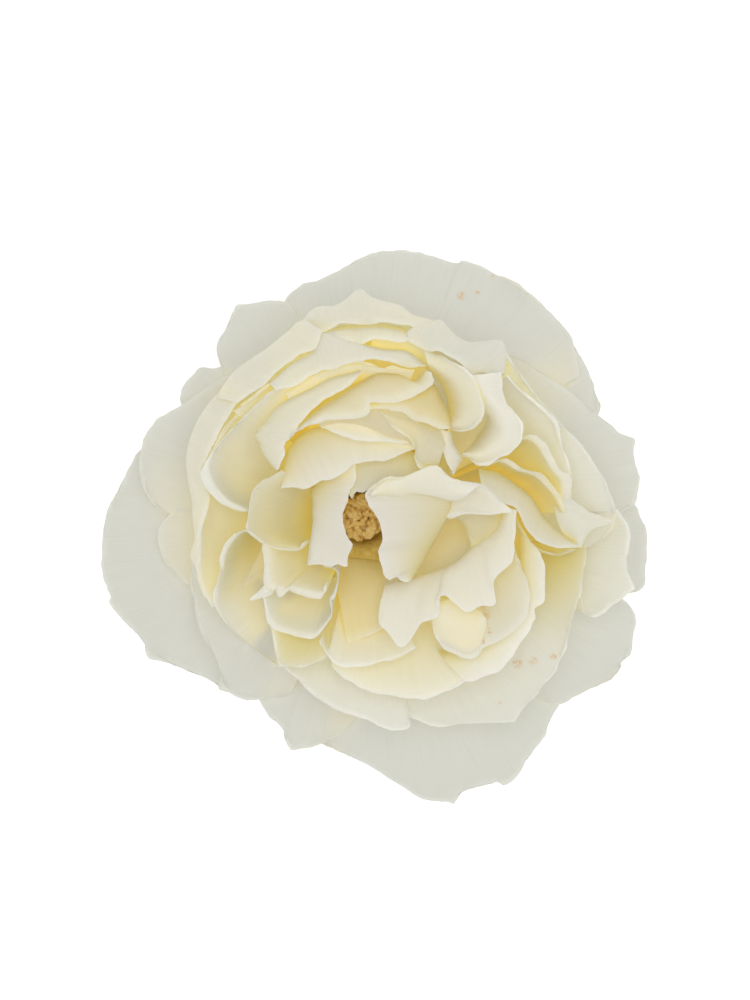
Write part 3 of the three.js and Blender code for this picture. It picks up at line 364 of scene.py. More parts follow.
            (-21, 21.4), (-20, 23), (-18, 24.6), (-15, 26.4), (-12, 27.8), (-9, 29.4), (-6, 30.2),
            (-3, 31),
        ],
        rim=[
            (-18.8, 12), (-17.8, 14.4), (-17.6, 16.8), (-15.8, 18.8), (-14, 21.4), (-12, 23.4), (-10, 25),
            (-8, 26.2), (-6, 27.4), (-5, 28), (-3.4, 29.8), (-2.6, 30.4),
        ],
    ),
    "heart_dome": dict(
        tier=6.8, band=(0.5, 1.7, 1.7, 1.6, 2.2, 1.4), foot_gold_and_shade=(0.8, 1, 1, 1.4),
        fold_z=[34, 33, 33, 33, 33, 36], rim_z=[38.6, 40, 41, 42, 42.4, 42.2, 41.5, 39],
        fold=[
            (-17, 17.4), (-15.8, 19.2), (-13.8, 21.4), (-11.4, 23.8), (-9, 25.6), (-6.6, 27.2),
            (-3.2, 28.6), (0.2, 30.2), (4, 30.2), (6.4, 29.3), (7.6, 28.6), (8.6, 29.4), (9.8, 30.8),
        ],
        rim=[
            (-16.4, 18), (-15.8, 18.8), (-13.8, 19.8), (-11.4, 20.5), (-9.4, 21.1), (-7, 21.3),
            (-4.2, 21.5), (-1.8, 22.2), (-0.8, 23.2), (-1, 24.1), (0.2, 24.4), (2.6, 24.5), (5.3, 24.9),
            (8.4, 26.1), (10.8, 27.6), (11.4, 29), (11, 30.6),
        ],
    ),
    "heart_top_right": dict(
        tier=7.4, band=(1.2, 1.5, 1.3), foot_gold_and_shade=(1.2, 1), fold_z=[36, 35, 34, 35, 37],
        rim_z=[40.5, 41, 41.5, 41, 40],
        fold=[(-4, 25), (2, 27), (8, 28), (11.6, 28), (13, 25.4), (14.2, 23), (14.8, 21), (14.8, 19.8)],
        rim=[
            (-3, 23), (1, 23.2), (3, 23), (5, 22.6), (7, 21.6), (9, 20.8), (11, 20), (12.6, 19.4),
            (14.4, 19.2),
        ],
    ),
    "heart_scoop": dict(
        tier=6, mid=(0.36, 36), foot_gold_and_shade=(0.3, 0.3), root_z=[32, 31, 30, 30, 30.4, 32],
        rim_z=[33, 34, 36, 37, 36.5, 36, 35],
        root=[(10.6, 31.6), (13.2, 28.4), (14.4, 25.4), (14.7, 23.4), (14.6, 21.4), (14.3, 20.3)],
        rim=[
            (9.6, 35.2), (14.2, 33.1), (18.6, 30.5), (20.4, 27.4), (21.5, 23.9), (21.3, 21.9),
            (19.9, 19.9), (17.7, 19), (15.5, 19.1), (14.2, 20.1),
        ],
    ),
    "heart_thumb": dict(
        tier=5, mid=(0.4, 37), foot_gold_and_shade=(0, 0, 0, 0.2, 0.3), root_z=[35, 35, 34, 30, 25, 23, 25, 30],
        rim_z=[35, 35.5, 36.5, 37, 36.5, 36, 35],
        root=[
            (19.2, 30), (19.7, 28.3), (20.7, 25.8), (21.6, 23.4), (22.4, 21.2), (20.8, 18.6), (19, 16),
            (17.3, 14.6),
        ],
        rim=[
            (25, 30.6), (25.2, 27.4), (25.6, 24.8), (27, 23.2), (28.7, 21.2), (29.2, 19), (28.5, 16.4),
            (27, 14.9), (24.8, 13.8), (23, 12.7), (21.2, 12.2), (19.9, 12.4), (18.6, 13.5), (17.1, 14.2),
        ],
    ),
    "heart_right_outer": dict(
        tier=5.2, mid=(0.72, 23.4), band=(1.2, 2.2, 2.4), turn=(1, 1.6, 1.8),
        rim_z=[30, 31, 30.5, 29.5, 28.5],
        rim=[
            (26.5, 15.6), (28.1, 17), (29.3, 17.8), (31.6, 18.1), (33.7, 16.6), (34.9, 14.1),
            (36.6, 11.6), (38.5, 10), (38.9, 8.3), (38.7, 5.2),
        ],
    ),
    "heart_right_middle": dict(
        tier=6, mid=(0.72, 23.6), band=(1.6, 1.6), turn=(1.1, 1.2), rim_z=[33, 33, 31.5, 30, 28.5],
        rim=[
            (22.8, 12.4), (24.4, 13.2), (26.2, 13.5), (29.1, 11.7), (32.4, 10.8), (34.1, 9.3),
            (35.8, 7.5), (37.5, 4.9), (38.2, 3),
        ],
    ),
    "heart_right_roll": dict(
        tier=6.6, band=(0.5, 0.5), fold_z=[31, 31, 30, 28, 26.6], rim_z=[34, 34, 33, 31, 28],
        fold=[
            (20.4, 11.6), (24.1, 10.8), (27.4, 8.7), (30.8, 5.8), (33.3, 2), (35.8, -0.5), (38.7, -2.6),
            (40.6, -3.4),
        ],
        rim=[
            (21, 8.4), (25.3, 4.9), (27.9, 3.5), (29.5, 0.4), (31.2, -1.7), (33.7, -3.3), (35.8, -4),
            (39.5, -3.9), (41, -3.8),
        ],
    ),
    "heart_left_arch": dict(
        tier=6.2, mid=(0.6, 31.4, 0.62, 29.4), band=(0.4, 0.6, 1.2), turn=(0.2, 0.4, 1), foot_gold_and_shade=(0.5, 1.2),
        rim_z=[36, 35, 33, 32, 33, 34],
        rim=[
            (-18.4, 11.3), (-19.5, 10.4), (-21.5, 9.5), (-23.1, 8.4), (-24.2, 7), (-24.6, 4.8),
            (-24.9, 2.3), (-25.5, 0.5), (-25.1, -0.9), (-22.7, -2.9), (-20.4, -4), (-18.4, -4.4),
            (-15.4, -4.7), (-14.5, -3.2),
        ],
    ),
    "heart_left_star": dict(
        tier=7.2, mid=(0.62, 27.4, 0.62, 26), band=(1.2, 2, 1.6), turn=(0.8, 1.6, 1.2), foot_gold_and_shade=(0.6, 0.6),
        rim_z=[32, 32.5, 33, 33, 33],
        rim=[
            (-22.2, -3.2), (-22, -6.6), (-21.8, -9.6), (-21.4, -11.8), (-20.6, -12.8), (-19.8, -12),
            (-19.4, -13), (-18.6, -14), (-17.8, -12.4), (-15.8, -13), (-13.6, -13.6), (-10.6, -14.2),
            (-10.2, -12),
        ],
    ),
    "heart_lower_left": dict(
        tier=6.4, mid=(0.62, 24.4, 0.62, 23), band=(1.4, 0.8), turn=(1, 0.6), foot_gold_and_shade=(0.2, 0.1),
        rim_z=[31, 32, 31, 30, 29.5, 29, 30],
        rim=[
            (-10.2, -7.8), (-8.4, -8), (-7.4, -9), (-7.4, -11.4), (-8.2, -14), (-9, -14.6), (-8.6, -16.6),
            (-8.8, -18), (-10.6, -20.6), (-12.6, -22.2), (-16, -21.4), (-20.4, -19.8), (-21.6, -17),
            (-22, -13),
        ],
    ),
    "heart_bottom_left": dict(
        tier=5.4, mid=(0.62, 23.4), rim_z=[26, 27, 28, 28, 27],
        rim=[
            (-9.4, -23.4), (-9.8, -26), (-14, -27.6), (-17, -27.6), (-19, -27.4), (-19.6, -24.6),
            (-20.4, -20.6), (-21.4, -16),
        ],
    ),
    "heart_bottom_small": dict(
        tier=5.8, mid=(0.55, 20.6), foot_gold_and_shade=(0.1, 0.1), rim_z=[26, 27, 27, 26],
        rim=[
            (-11, -22.6), (-10, -24.6), (-8.4, -26.6), (-7, -27.4), (-5, -27.6), (-2, -27.4), (1, -26.6),
            (4, -26), (8, -24),
        ],
    ),
    "heart_bottom_cup": dict(
        tier=5, mid=(0.62, 20.6), band=(0.5, 0.5), turn=(0.3, 0.3), foot_gold_and_shade=(0.3, 0.3),
        rim_z=[24.5, 25, 25, 25.5],
        rim=[
            (-8.6, -27.6), (-6.6, -29.5), (-5.2, -30.4), (-1.8, -32.4), (1.6, -33.1), (5.4, -33.8),
            (10.2, -34), (13.6, -32.8), (16.4, -31.4), (19, -29.6),
        ],
    ),
    "heart_crescent": dict(
        tier=5, band=(1.2, 0.8), fold_z=[25, 25, 24.6, 24], rim_z=[28, 28, 28, 27.5, 27, 26.5],
        fold=[
            (28.6, 0), (28.8, -4.6), (28.6, -10), (27.6, -15.6), (24.6, -19.6), (20, -22.6),
            (15.6, -24.4), (13, -25.4),
        ],
        rim=[
            (30.4, -2.6), (32.4, -4.6), (33.4, -7), (33.7, -10.6), (33.4, -14.4), (31.9, -16.2),
            (31.6, -18.6), (29, -22.8), (27.4, -25.2), (25, -28), (22.6, -29.2), (19.8, -30.4),
            (17.8, -30.6),
        ],
    ),
    "heart_round_lobe": dict(
        tier=6, band=(1.6, 1), foot_gold_and_shade=(0.5, 0.5), fold_z=[24, 24, 24.5, 25],
        rim_z=[28.5, 29, 29.5, 29.5, 29.5, 29],
        fold=[(8.5, -13.6), (11.6, -12.8), (16.6, -10.8), (21, -7.8), (25, -4.4), (27, -1)],
        rim=[
            (11.8, -18), (11.4, -20.2), (12.4, -22.4), (14.6, -24.6), (18.8, -25.9), (21, -24.2),
            (25, -22.2), (28.6, -19.4), (30.2, -16.6), (30.5, -13), (29.8, -9.4), (27.8, -6.4),
        ],
    ),
    "heart_lower_right": dict(
        tier=7, foot_gold_and_shade=(0.3, 0, 0), fold_z=[31, 30, 29.5, 29, 28, 27],
        rim_z=[34, 34, 33.5, 33, 32, 31, 29.5],
        fold=[(25.8, 4), (24, -0.6), (19.4, -4.2), (15.4, -7.4), (10.2, -9.4), (6, -10.6), (2, -11.4)],
        rim=[
            (28, 3.4), (27.8, -0.2), (27.6, -2.6), (27, -6.6), (24.6, -9.4), (23.4, -11.4), (23.6, -14.6),
            (21, -15.4), (18.2, -16.3), (15.8, -15.2), (13.6, -14), (11.9, -14.8), (12.8, -16.6),
            (11.8, -18), (9, -19.2), (7.2, -21.8), (5, -23), (2.2, -20.2), (0.8, -18.2), (1.2, -14.6),
        ],
    ),
    "heart_tan": dict(
        tier=8.4, foot_gold_and_shade=(1.2, 1.2), fold_z=[21, 21.4, 21.4, 21], rim_z=[24, 24.6, 24.6, 24],
        fold=[(-8.6, -6.6), (-6.4, -6), (-3, -6.2), (0, -6.6), (3, -7), (6, -7)],
        rim=[(-5.6, -22.7), (-3.4, -22.3), (-1.6, -21.8), (0.4, -20.8), (2, -19.8), (4.4, -18), (7, -15)],
    ),
    "heart_lens": dict(
        tier=8, band=(0.8, 0.8), foot_gold_and_shade=(0, 0), fold_z=[38, 38.4, 38.4, 38], rim_z=[39, 39.4, 39.4, 38.6],
        fold=[(-11, 20.3), (-8.8, 21.3), (-4.6, 21), (-1, 19.6), (2.1, 18), (6.2, 17)],
        rim=[(-10.9, 20), (-7.8, 18.6), (-3.6, 17.3), (1, 16.8), (6.8, 16.4)],
    ),
    "heart_hood": dict(
        tier=8.6, foot_gold_and_shade=(1.6, 1, 0.4, 0.3), fold_z=[35, 34, 34, 35, 36], rim_z=[36, 37.5, 38, 38, 37.5],
        fold=[
            (-18.4, 8.2), (-18, 12), (-17, 15.4), (-14, 18.6), (-10, 20), (-5, 20.4), (0, 19.6), (5, 18),
            (8, 16.2),
        ],
        rim=[
            (-18.6, 7.6), (-16, 7.8), (-13.4, 7.8), (-11, 9), (-9, 9.6), (-7, 10.4), (-5.4, 11.4),
            (-4, 12.4), (-1, 13), (2, 13.2), (4, 14), (6, 14.8), (7.8, 15.4),
        ],
    ),
    "centre_cover": dict(
        tier=9.4, foot_gold_and_shade=(0.7, 0.7), fold_z=[33, 33, 33, 33], rim_z=[35, 35, 35, 35],
        fold=[(-8, 12), (-4, 15), (1, 16), (6, 15.4), (10, 13), (12, 10)],
        rim=[(-6, 8), (-4.6, 6), (-4, 6.8), (-2.6, 7), (-1.4, 7.4), (0, 8), (4, 8), (9, 8)],
    ),
    "flap_left": dict(
        tier=9.4, foot_gold_and_shade=(2.4, 0.8, 0.1, 0), fold_z=[33, 33, 33, 33], rim_z=[35.5, 36, 37, 37, 36, 35],
        fold=[(-10, 11), (-12.2, 7.8), (-12.2, 4.4), (-12.2, 0.4), (-12.8, -3.6), (-13.2, -7.4)],
        rim=[
            (-3.8, 12.4), (-3.8, 9.4), (-5, 7), (-5.6, 4.8), (-6.2, 2.8), (-6.2, 1), (-5.8, -0.6),
            (-5.2, -2.2), (-4.6, -3.4), (-5.4, -5.8), (-5.8, -7.6), (-7.4, -7.2), (-9, -7.8),
            (-11.4, -7.2), (-13, -7.6),
        ],
    ),
    "flap_right": dict(
        tier=8.6, foot_gold_and_shade=(0.5, 1.6), fold_z=[34, 34, 33, 33], rim_z=[37, 37.5, 38, 38, 37, 35],
        fold=[
            (12.4, 12), (15, 9.4), (15, 5.4), (14.2, 2), (12.4, -1.4), (10.6, -4.6), (8.8, -7.8),
            (7.2, -10.2),
        ],
        rim=[
            (5, 10), (1, 9), (-1.6, 6.8), (-1, 4.4), (0, 2.8), (0.8, 1), (1.2, -0.6), (1.4, -2.6),
            (0.8, -4.6), (1, -6.6), (2, -9.4), (3, -10.2), (4, -9.6), (5.2, -10.6), (6.6, -10.7),
        ],
    ),
    "flap_right_lip": dict(
        tier=8.8, mid=(0.5, 40), root_z=[37.8, 38, 38, 37], rim_z=[39, 40.4, 40.4, 39],
        root=[(-1, 6), (1, 6.2), (5, 6.2), (7, 6.8), (11, 6.4), (15, 5.4), (17, 5.6)],
        rim=[
            (-0.6, 7), (0.4, 8.2), (1.8, 9.8), (5, 10), (8.6, 11.2), (11.6, 12.2), (14.4, 10.2),
            (16, 9.4), (20.6, 8.6),
        ],
    ),
    "flap_corner": dict(
        tier=7.8, mid=(0.5, 34.6), root_z=[33.6, 33.6, 33.4, 33], rim_z=[34, 36, 36, 36, 34],
        root=[(11.6, 10), (14.2, 8.4), (14.4, 5.4), (13.4, 2.6)],
        rim=[
            (15, 9), (20.6, 8.6), (23, 7), (25, 5), (27, 3.2), (24, 2.6), (21, 2.6), (17.6, 2.8),
            (15, 1.6),
        ],
    ),
    "centre_tongue": dict(
        tier=8, mid=(0.5, 40.2), foot_gold_and_shade=(0.3, 0.3), root_z=[38, 38, 37], rim_z=[40, 40, 39.5, 38],
        root=[(0.6, 23.6), (6, 23.4), (10, 22), (13, 20.4), (14, 17)],
        rim=[(1.4, 22.2), (4, 19.4), (7, 17), (8, 15), (7.8, 13.8), (9, 11.4), (11, 12), (12.4, 12.2)],
    ),
    "centre_strip": dict(
        tier=8, foot_gold_and_shade=(0, 0), fold_z=[36, 35, 35], rim_z=[38.5, 38, 37],
        fold=[(14.8, 18.8), (15.4, 16.4), (16.6, 14.4), (17, 13.6), (16.2, 12.2), (15.4, 10.4)],
        rim=[(12.4, 19.4), (12.8, 17.4), (13.4, 15), (14.2, 12.8), (15, 11.4)],
    ),
    "bowl_left_inner": dict(
        tier=4.4, mid=(0.66, 19.4, 0.66, 18), rim_z=[27, 26.4, 25.6, 24.6, 20],
        rim=[
            (-27, 23), (-29.4, 20.4), (-31.4, 17), (-33.2, 13.4), (-34, 10), (-33.6, 6.5), (-34.2, 2),
            (-35, -2), (-35.2, -6), (-35, -9.4), (-34, -12.8), (-32.4, -16),
        ],
    ),
    "bowl_band_inner": dict(
        tier=5.4, mid=(0.74, 30.4), rim_z=[31, 32.5, 33.5, 33.5, 33],
        rim=[
            (-18, 27), (-16.6, 28.2), (-14, 29.8), (-11.4, 31), (-9, 31.9), (-6, 32.5), (-3.4, 32.8),
            (-1.2, 32.6), (0.2, 31.8), (1.6, 31.1), (2.4, 31.8), (3.2, 32.1), (5.4, 31.5), (7.8, 31.1),
        ],
    ),
    "bowl_upper_left_inner": dict(
        tier=4.6, mid=(0.8, 25), rim_z=[30, 29.5, 29, 28, 27],
        rim=[
            (-12, 34), (-15.2, 33), (-17.4, 31.8), (-19.4, 30.2), (-21.4, 28.4), (-23.4, 26.6),
            (-25.6, 25), (-28, 23),
        ],
    ),
    "heart_lens_back": dict(
        tier=7.8, mid=(0.5, 39.7), foot_gold_and_shade=(0.3, 0.3), root_z=[38.2, 40, 40.4, 39.6],
        rim_z=[37.6, 38.4, 38.4, 37.6],
        root=[(-11.6, 21.6), (-7, 23.4), (-3, 24.2), (1, 24.4), (5, 23.8), (8.4, 22.4)],
        rim=[(-10.4, 19.4), (-6, 19.4), (-1.4, 18.4), (2.1, 16.6), (6.2, 15.8), (9, 15.4)],
    ),
    "heart_right_under": dict(
        tier=5.6, mid=(0.7, 21), band=(0.6, 0.6), turn=(0.4, 0.4), rim_z=[27, 27.6, 27, 25],
        rim=[(27.8, 3), (28.3, 1.8), (29.5, -0.9), (31.6, -3.6), (34.1, -5), (37, -5.5), (39.9, -4.4)],
    ),
    "heart_right_wing": dict(
        tier=5, mid=(0.55, 28.4), band=(0.3, 0.3), turn=(0.2, 0.2), foot_gold_and_shade=(0, 0),
        root_z=[28, 27.6, 27, 25], rim_z=[28, 26.4, 25, 25, 24.6],
        root=[(35.4, 6), (36, 2), (37.4, -1.2), (39.8, -3.6)],
        rim=[(38.7, 5.6), (40.4, 4.5), (42.9, 2.8), (47.1, 1.2), (43.7, -0.1), (42, -1.7), (41, -3.8)],
    ),
    "heart_front_lobe": dict(
        tier=6.6, mid=(0.5, 31.6), foot_gold_and_shade=(0, 0), root_z=[29.6, 29.8, 29.8, 29.4],
        rim_z=[30, 30, 29.8, 29.9, 29.6],
        root=[(12.6, -15), (15, -14.4), (18.2, -15.4), (21, -16.6)],
        rim=[
            (11.6, -17.2), (11.4, -19.4), (12, -21.8), (13.8, -23.6), (16.4, -25), (19.2, -26),
            (21, -24.6), (21.8, -22.2), (22.4, -19),
        ],
    ),
    "bowl_top_step": dict(
        tier=4.6, mid=(0.72, 25.4), band=(0.3, 0.3), turn=(0.2, 0.2), rim_z=[30.4, 30.6, 30.6, 30],
        rim=[(-0.6, 37.8), (2, 38.2), (5, 38), (8, 37), (10.6, 35.4), (12, 33.6)],
    ),
    "heart_left_wing": dict(
        tier=7.4, mid=(0.5, 32.6), foot_gold_and_shade=(0, 0), root_z=[31.8, 31.8, 31.8], rim_z=[32.6, 32, 32.6],
        root=[(-21.4, -11), (-19.8, -12)],
        rim=[(-22.6, -12.8), (-24.8, -14.4), (-22.6, -14), (-20.4, -13.2)],
    ),
    "heart_inner_right": dict(
        tier=7.6, mid=(0.5, 29.8), band=(0.4, 0.4), foot_gold_and_shade=(0.4, 0.4), root_z=[30, 31, 31.4, 31],
        rim_z=[28.8, 28.4, 28.8, 29.8, 30.6],
        root=[(15.4, 2), (18.6, 3), (22.6, 3.2), (26, 3.8)],
        rim=[(18, 1.6), (18.4, -1.4), (19.6, -4.4), (22.2, -3.6), (24.4, -1), (26, 2.2)],
    ),
}

PALE = [name for name in PETALS if name.startswith("skirt")]
print(len(PETALS), "petals,", len(PALE), "of them in the pale outer ring")

# %% [markdown]
# ## The shape of a petal
# A petal is a sheet. It could be sculpted by hand, but then it would drift from the solids. Here a
# flat grid is bent instead: one direction of the grid runs across the petal, the other from the claw
# to the rim, and each point is moved to where the same curves as in the solids put it.

# %% Smooth lines through a few points
def mix(a, b, share):
    return a + (b - a) * share


def smooth_step(low, high, value):
    share = min(max((value - low) / (high - low), 0.0), 1.0)
    return share * share * (3 - 2 * share)


def smooth(before, start, end, after, share):
    bend = 2 * before - 5 * start + 4 * end - after
    twist = 3 * start - before - 3 * end + after
    return 0.5 * (2 * start + (end - before) * share + bend * share**2 + twist * share**3)


def outline_length(outline):
    return sum(math.dist(p, q) for p, q in zip(outline, outline[1:]))


def along(outline, share):
    """Point of a plan outline at a share of its length."""
    wanted = share * outline_length(outline)
    i = 0
    while i < len(outline) - 2 and math.dist(outline[i], outline[i + 1]) < wanted:
        wanted -= math.dist(outline[i], outline[i + 1])
        i += 1
    part = min(max(wanted / math.dist(outline[i], outline[i + 1]), 0.0), 1.0)
    near = [outline[min(max(k, 0), len(outline) - 1)] for k in range(i - 1, i + 3)]
    return [smooth(*(point[axis] for point in near), part) for axis in range(2)]


def height_at(heights, share):
    last = len(heights) - 1
    i = min(int(share * last), last - 1)
    near = [heights[min(max(k, 0), last)] for k in range(i - 1, i + 3)]
    return smooth(*near, share * last - i)


# %% The line that a petal follows from claw to rim
AXIS = (-2.5, 2.0)
CLAW_LOWEST, CLAW_STEP = 12.9, 0.5
CLAW_WIDEST, CLAW_NARROWING = 7.2, 0.36
CLAW_HALF_ANGLE = 0.4
FOLD_SHARE = 0.6
NOTCH_SHARE = 0.14
LIP_SHARE, LIP_FALL, LIP_CLIMB = 0.82, 0.3, 0.6
TURNS = (0.5, 0.5)
LEAST_RISE, FOLD_CLIMB = 1.2, 0.6
BELLY_LOW, BELLY_HIGH = 0.28, 0.55
SHOULDER_SHARE, SHOULDER_RISE = 0.5, 0.08
LEAST_LENGTH, LEAST_STRETCH, MOST_STRETCH = 0.5, 0.6, 1.4


def bearing(petal):
    """Middle angle of the petal round the axis, and half the angle that its claw spans."""
    angles = [math.atan2(y - AXIS[1], x - AXIS[0]) for x, y in petal.get("fold") or petal["rim"]]
    angles = np.unwrap(angles)
    half = (angles[-1] - angles[0]) / 2
    return (angles[0] + angles[-1]) / 2, min(max(half, -CLAW_HALF_ANGLE), CLAW_HALF_ANGLE)


def claw_point(petal, across):
    if "root" in petal:
        return Vector((*along(petal["root"], across), height_at(petal["root_z"], across)))
    middle, half = bearing(petal)
    angle = middle + (2 * across - 1) * half
    radius = CLAW_WIDEST - CLAW_NARROWING * petal["tier"]
    height = CLAW_LOWEST + CLAW_STEP * petal["tier"]
    return Vector((AXIS[0] + radius * math.cos(angle), AXIS[1] + radius * math.sin(angle), height))


def between(a, b, share, height_share):
    return Vector((mix(a.x, b.x, share), mix(a.y, b.y, share), mix(a.z, b.z, height_share)))


def curve_point(points, share):
    """Point of a Bezier curve, found by drawing in its points pair by pair."""
    while len(points) > 1:
        points = [p.lerp(q, share) for p, q in zip(points, points[1:])]
    return points[0]


def outward_line(claw, even_rim, rim, middle, turn):
    """A petal that opens outwards, with the last few millimetres turned over flat."""
    share, height = middle
    edge = between(even_rim, claw, turn / max((even_rim - claw).xy.length, turn), 0)
    through = between(claw, edge, share, 0)
    through.z = height
    control = through * 2 - (claw + edge) / 2
    climb = (edge - control).normalized() * LIP_CLIMB * turn
    tip = rim - Vector((0, 0, LIP_FALL * turn))
    return [(0.0, [claw, control, edge]), (LIP_SHARE, [edge, edge + climb, tip])]


def inward_line(claw, fold, rim):
    """A petal that curves in over the middle past its widest line, the fold."""
    rise = max(rim.z - fold.z, LEAST_RISE)
    shoulder = between(rim, fold, SHOULDER_SHARE, 0)
    shoulder.z = rim.z + SHOULDER_RISE * rise
    lower = [claw, between(claw, fold, 0.5, BELLY_LOW), between(claw, fold, 1, BELLY_HIGH), fold]
    upper = [fold, fold + Vector((0, 0, FOLD_CLIMB * rise)), shoulder, rim]
    return [(0.0, lower), (FOLD_SHARE, upper)]


def petal_line(petal, across, stretch):
    """The petal's two curves at a share of its width, each with the share of the way where it starts."""
    claw = claw_point(petal, across)
    rim = Vector((*along(petal["rim"], across), height_at(petal["rim_z"], across)))
    if "fold" in petal:
        fold = Vector((*along(petal["fold"], across), height_at(petal["fold_z"], across)))
        return inward_line(claw, fold, between(fold, rim, 1 / stretch, 1))
    middle = [mix(a, b, across) for a, b in zip(petal["mid"][:2], petal["mid"][-2:])]
    turn = height_at(petal.get("turn", TURNS), across)
    return outward_line(claw, between(claw, rim, 1 / stretch, 1), rim, middle, turn)


def line_point(line, reach, stretch):
    if reach < line[1][0]:
        return curve_point(line[0][1], reach / line[1][0])
    return curve_point(line[1][1], stretch * (reach - line[1][0]) / (1 - line[1][0]))


def rim_stretches(petal, columns):
    """How far each column goes past, or stops short of, the rim smoothed over its notches."""
    lengths = []
    for i in range(columns + 1):
        rim = Vector(along(petal["rim"], i / columns))
        inner = along(petal["fold"], i / columns) if "fold" in petal else claw_point(petal, i / columns).xy
        lengths.append((rim - Vector(inner)).length)
    padded = np.pad(lengths, columns, mode="reflect", reflect_type="odd")
    window = np.hanning(2 * max(round(NOTCH_SHARE * columns), 1) + 3)
    window /= window.sum()
    even = np.convolve(padded, window, mode="same")[columns:-columns]
    return np.clip(np.array(lengths) / np.maximum(even, LEAST_LENGTH), LEAST_STRETCH, MOST_STRETCH)


low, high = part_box("styles")
TO_FRAME = Vector(((low.x + high.x) / 2 / MM - AXIS[0], (low.y + high.y) / 2 / MM - AXIS[1], 0))
print("the solids were moved by, in mm:", [round(n, 3) for n in TO_FRAME])

# %% [markdown]
# ## Life in the edges
# A petal fresh off a bush isn't smooth. It is pleated a little along its veins, its rim waves, and
# the very edge is nicked. All three are small moves of the same grid, read from a noise field, and
# they fade out towards the claw so that the feet stay where the solids have them.

# %% Waves, pleats and nicks, in millimetres
PLEAT_HEIGHT, PLEAT_WIDTH = 0.12, 2.6
WAVE_HEIGHT, WAVE_WIDTH = 0.9, 8.0
RUFFLE_HEIGHT, RUFFLE_WIDTH = 0.35, 3.2
NICK_DEPTH, NICK_WIDTH = 0.28, 1.7
SMALL_NICK_SHARE, SMALL_NICK_WIDTH = 0.5, 0.8
PLEATS_FROM, PLEATS_FULL = 0.2, 0.7
WAVES_FROM, RUFFLES_FROM, NICKS_FROM = 0.45, 0.8, 0.9
WAVE_ROW, WAVE_DRIFT, RUFFLE_ROW, NICK_ROW, SMALL_NICK_ROW = 100, 0.02, 200, 300, 400
LIP_RISE, LIP_FROM = 0.35, 0.84
NOISE_ROW_STEP, NOISE_HEIGHT = 7.31, 3.7
COLUMN_STEP = 0.85
FEWEST_COLUMNS, MOST_COLUMNS = 26, 110
ROWS = 30


def wander(place, width, row):
    """Noise from -1 to 1 with humps of about that width; each row of it is another pattern."""
    return noise.noise(Vector((place / width, row * NOISE_ROW_STEP, NOISE_HEIGHT)))


def petal_grid(petal, number, columns):
    """Points of the sheet, column by column, with the small waves added."""
    width = outline_length(petal["rim"])
    stretches = rim_stretches(petal, columns)
    lip = LIP_RISE if "fold" in petal else 0
    grid = []
    for i in range(columns + 1):
        line = petal_line(petal, i / columns, stretches[i])
        stretch = stretches[i] if "fold" in petal else 1
        grid.append([line_point(line, j / ROWS, stretch) for j in range(ROWS + 1)])
    moved = []
    for i in range(columns + 1):
        place = width * i / columns
        column = []
        for j in range(ROWS + 1):
            reach = j / ROWS
            side = grid[min(i + 1, columns)][j] - grid[max(i - 1, 0)][j]
            up = grid[i][min(j + 1, ROWS)] - grid[i][max(j - 1, 0)]
            normal = side.cross(up).normalized()
            pleat = PLEAT_HEIGHT * wander(place, PLEAT_WIDTH, number)
            pleat *= smooth_step(PLEATS_FROM, PLEATS_FULL, reach)
            wave = WAVE_HEIGHT * wander(place, WAVE_WIDTH, number + WAVE_ROW + WAVE_DRIFT * j)
            wave *= smooth_step(WAVES_FROM, 1, reach)
            ruffle = RUFFLE_HEIGHT * wander(place, RUFFLE_WIDTH, number + RUFFLE_ROW)
            ruffle *= smooth_step(RUFFLES_FROM, 1, reach)
            nick = wander(place, NICK_WIDTH, number + NICK_ROW)
            nick += SMALL_NICK_SHARE * wander(place, SMALL_NICK_WIDTH, number + SMALL_NICK_ROW)
            nick *= NICK_DEPTH * smooth_step(NICKS_FROM, 1, reach)
            point = grid[i][j] + normal * (pleat + ruffle) + up.normalized() * nick
            point.z += wave + lip * smooth_step(LIP_FROM, 1, reach) ** 2
            point.z = max(point.z, LYING)
            column.append(point)
        moved.append(column)
    return moved


# %% [markdown]
# ## From sheet to petal
# Solidify gives the sheet its thickness, with a vertex group that thins it towards the rim. The
# modifier is applied at once, because the next step needs both faces of the petal. The UV map is
# measured in millimetres from the middle of the claw, so that the veins can follow the petal.

# %% Make every petal
THICKNESS = 0.34
RIM_SHARE, THIN_FROM = 0.4, 0.75
# The pale band along each rim is partly the paler edge of the petal and partly a painted highlight where the
# turned lip catches the light.
LIP_START, LIP_END, LIP_FADE = 0.4, 1.5, 0.1
SHARP_ANGLE = math.radians(50)
BANDS = (0.7, 0.7)
# Gold towards the claw, multiplied into the colour: partly the yellow of the foot, partly painted shade under
# the petals that lie over it.
FULL_FOOT_GOLD_AND_SHADE, NO_FOOT_GOLD_AND_SHADE = (1, 1), (0, 0)
FOOT_GOLD_AND_SHADE_SHARE, FOOT_GOLD_AND_SHADE_START, FOOT_GOLD_AND_SHADE_END = 0.6, 0.6, 1.0
LYING = THICKNESS / 2


def as_object(name, mesh):
    piece = bpy.data.objects.new(name, mesh)
    scene.collection.objects.link(piece)
    return piece


def apply_modifiers(piece):
    """Keeps the modified mesh and drops the modifiers."""
    graph = bpy.context.evaluated_depsgraph_get()
    modified = piece.evaluated_get(graph)
    final = bpy.data.meshes.new_from_object(modified, preserve_all_data_layers=True, depsgraph=graph)
    rough = piece.data
    piece.modifiers.clear()
    piece.data = final
    bpy.data.meshes.remove(rough)
    final.name = piece.name


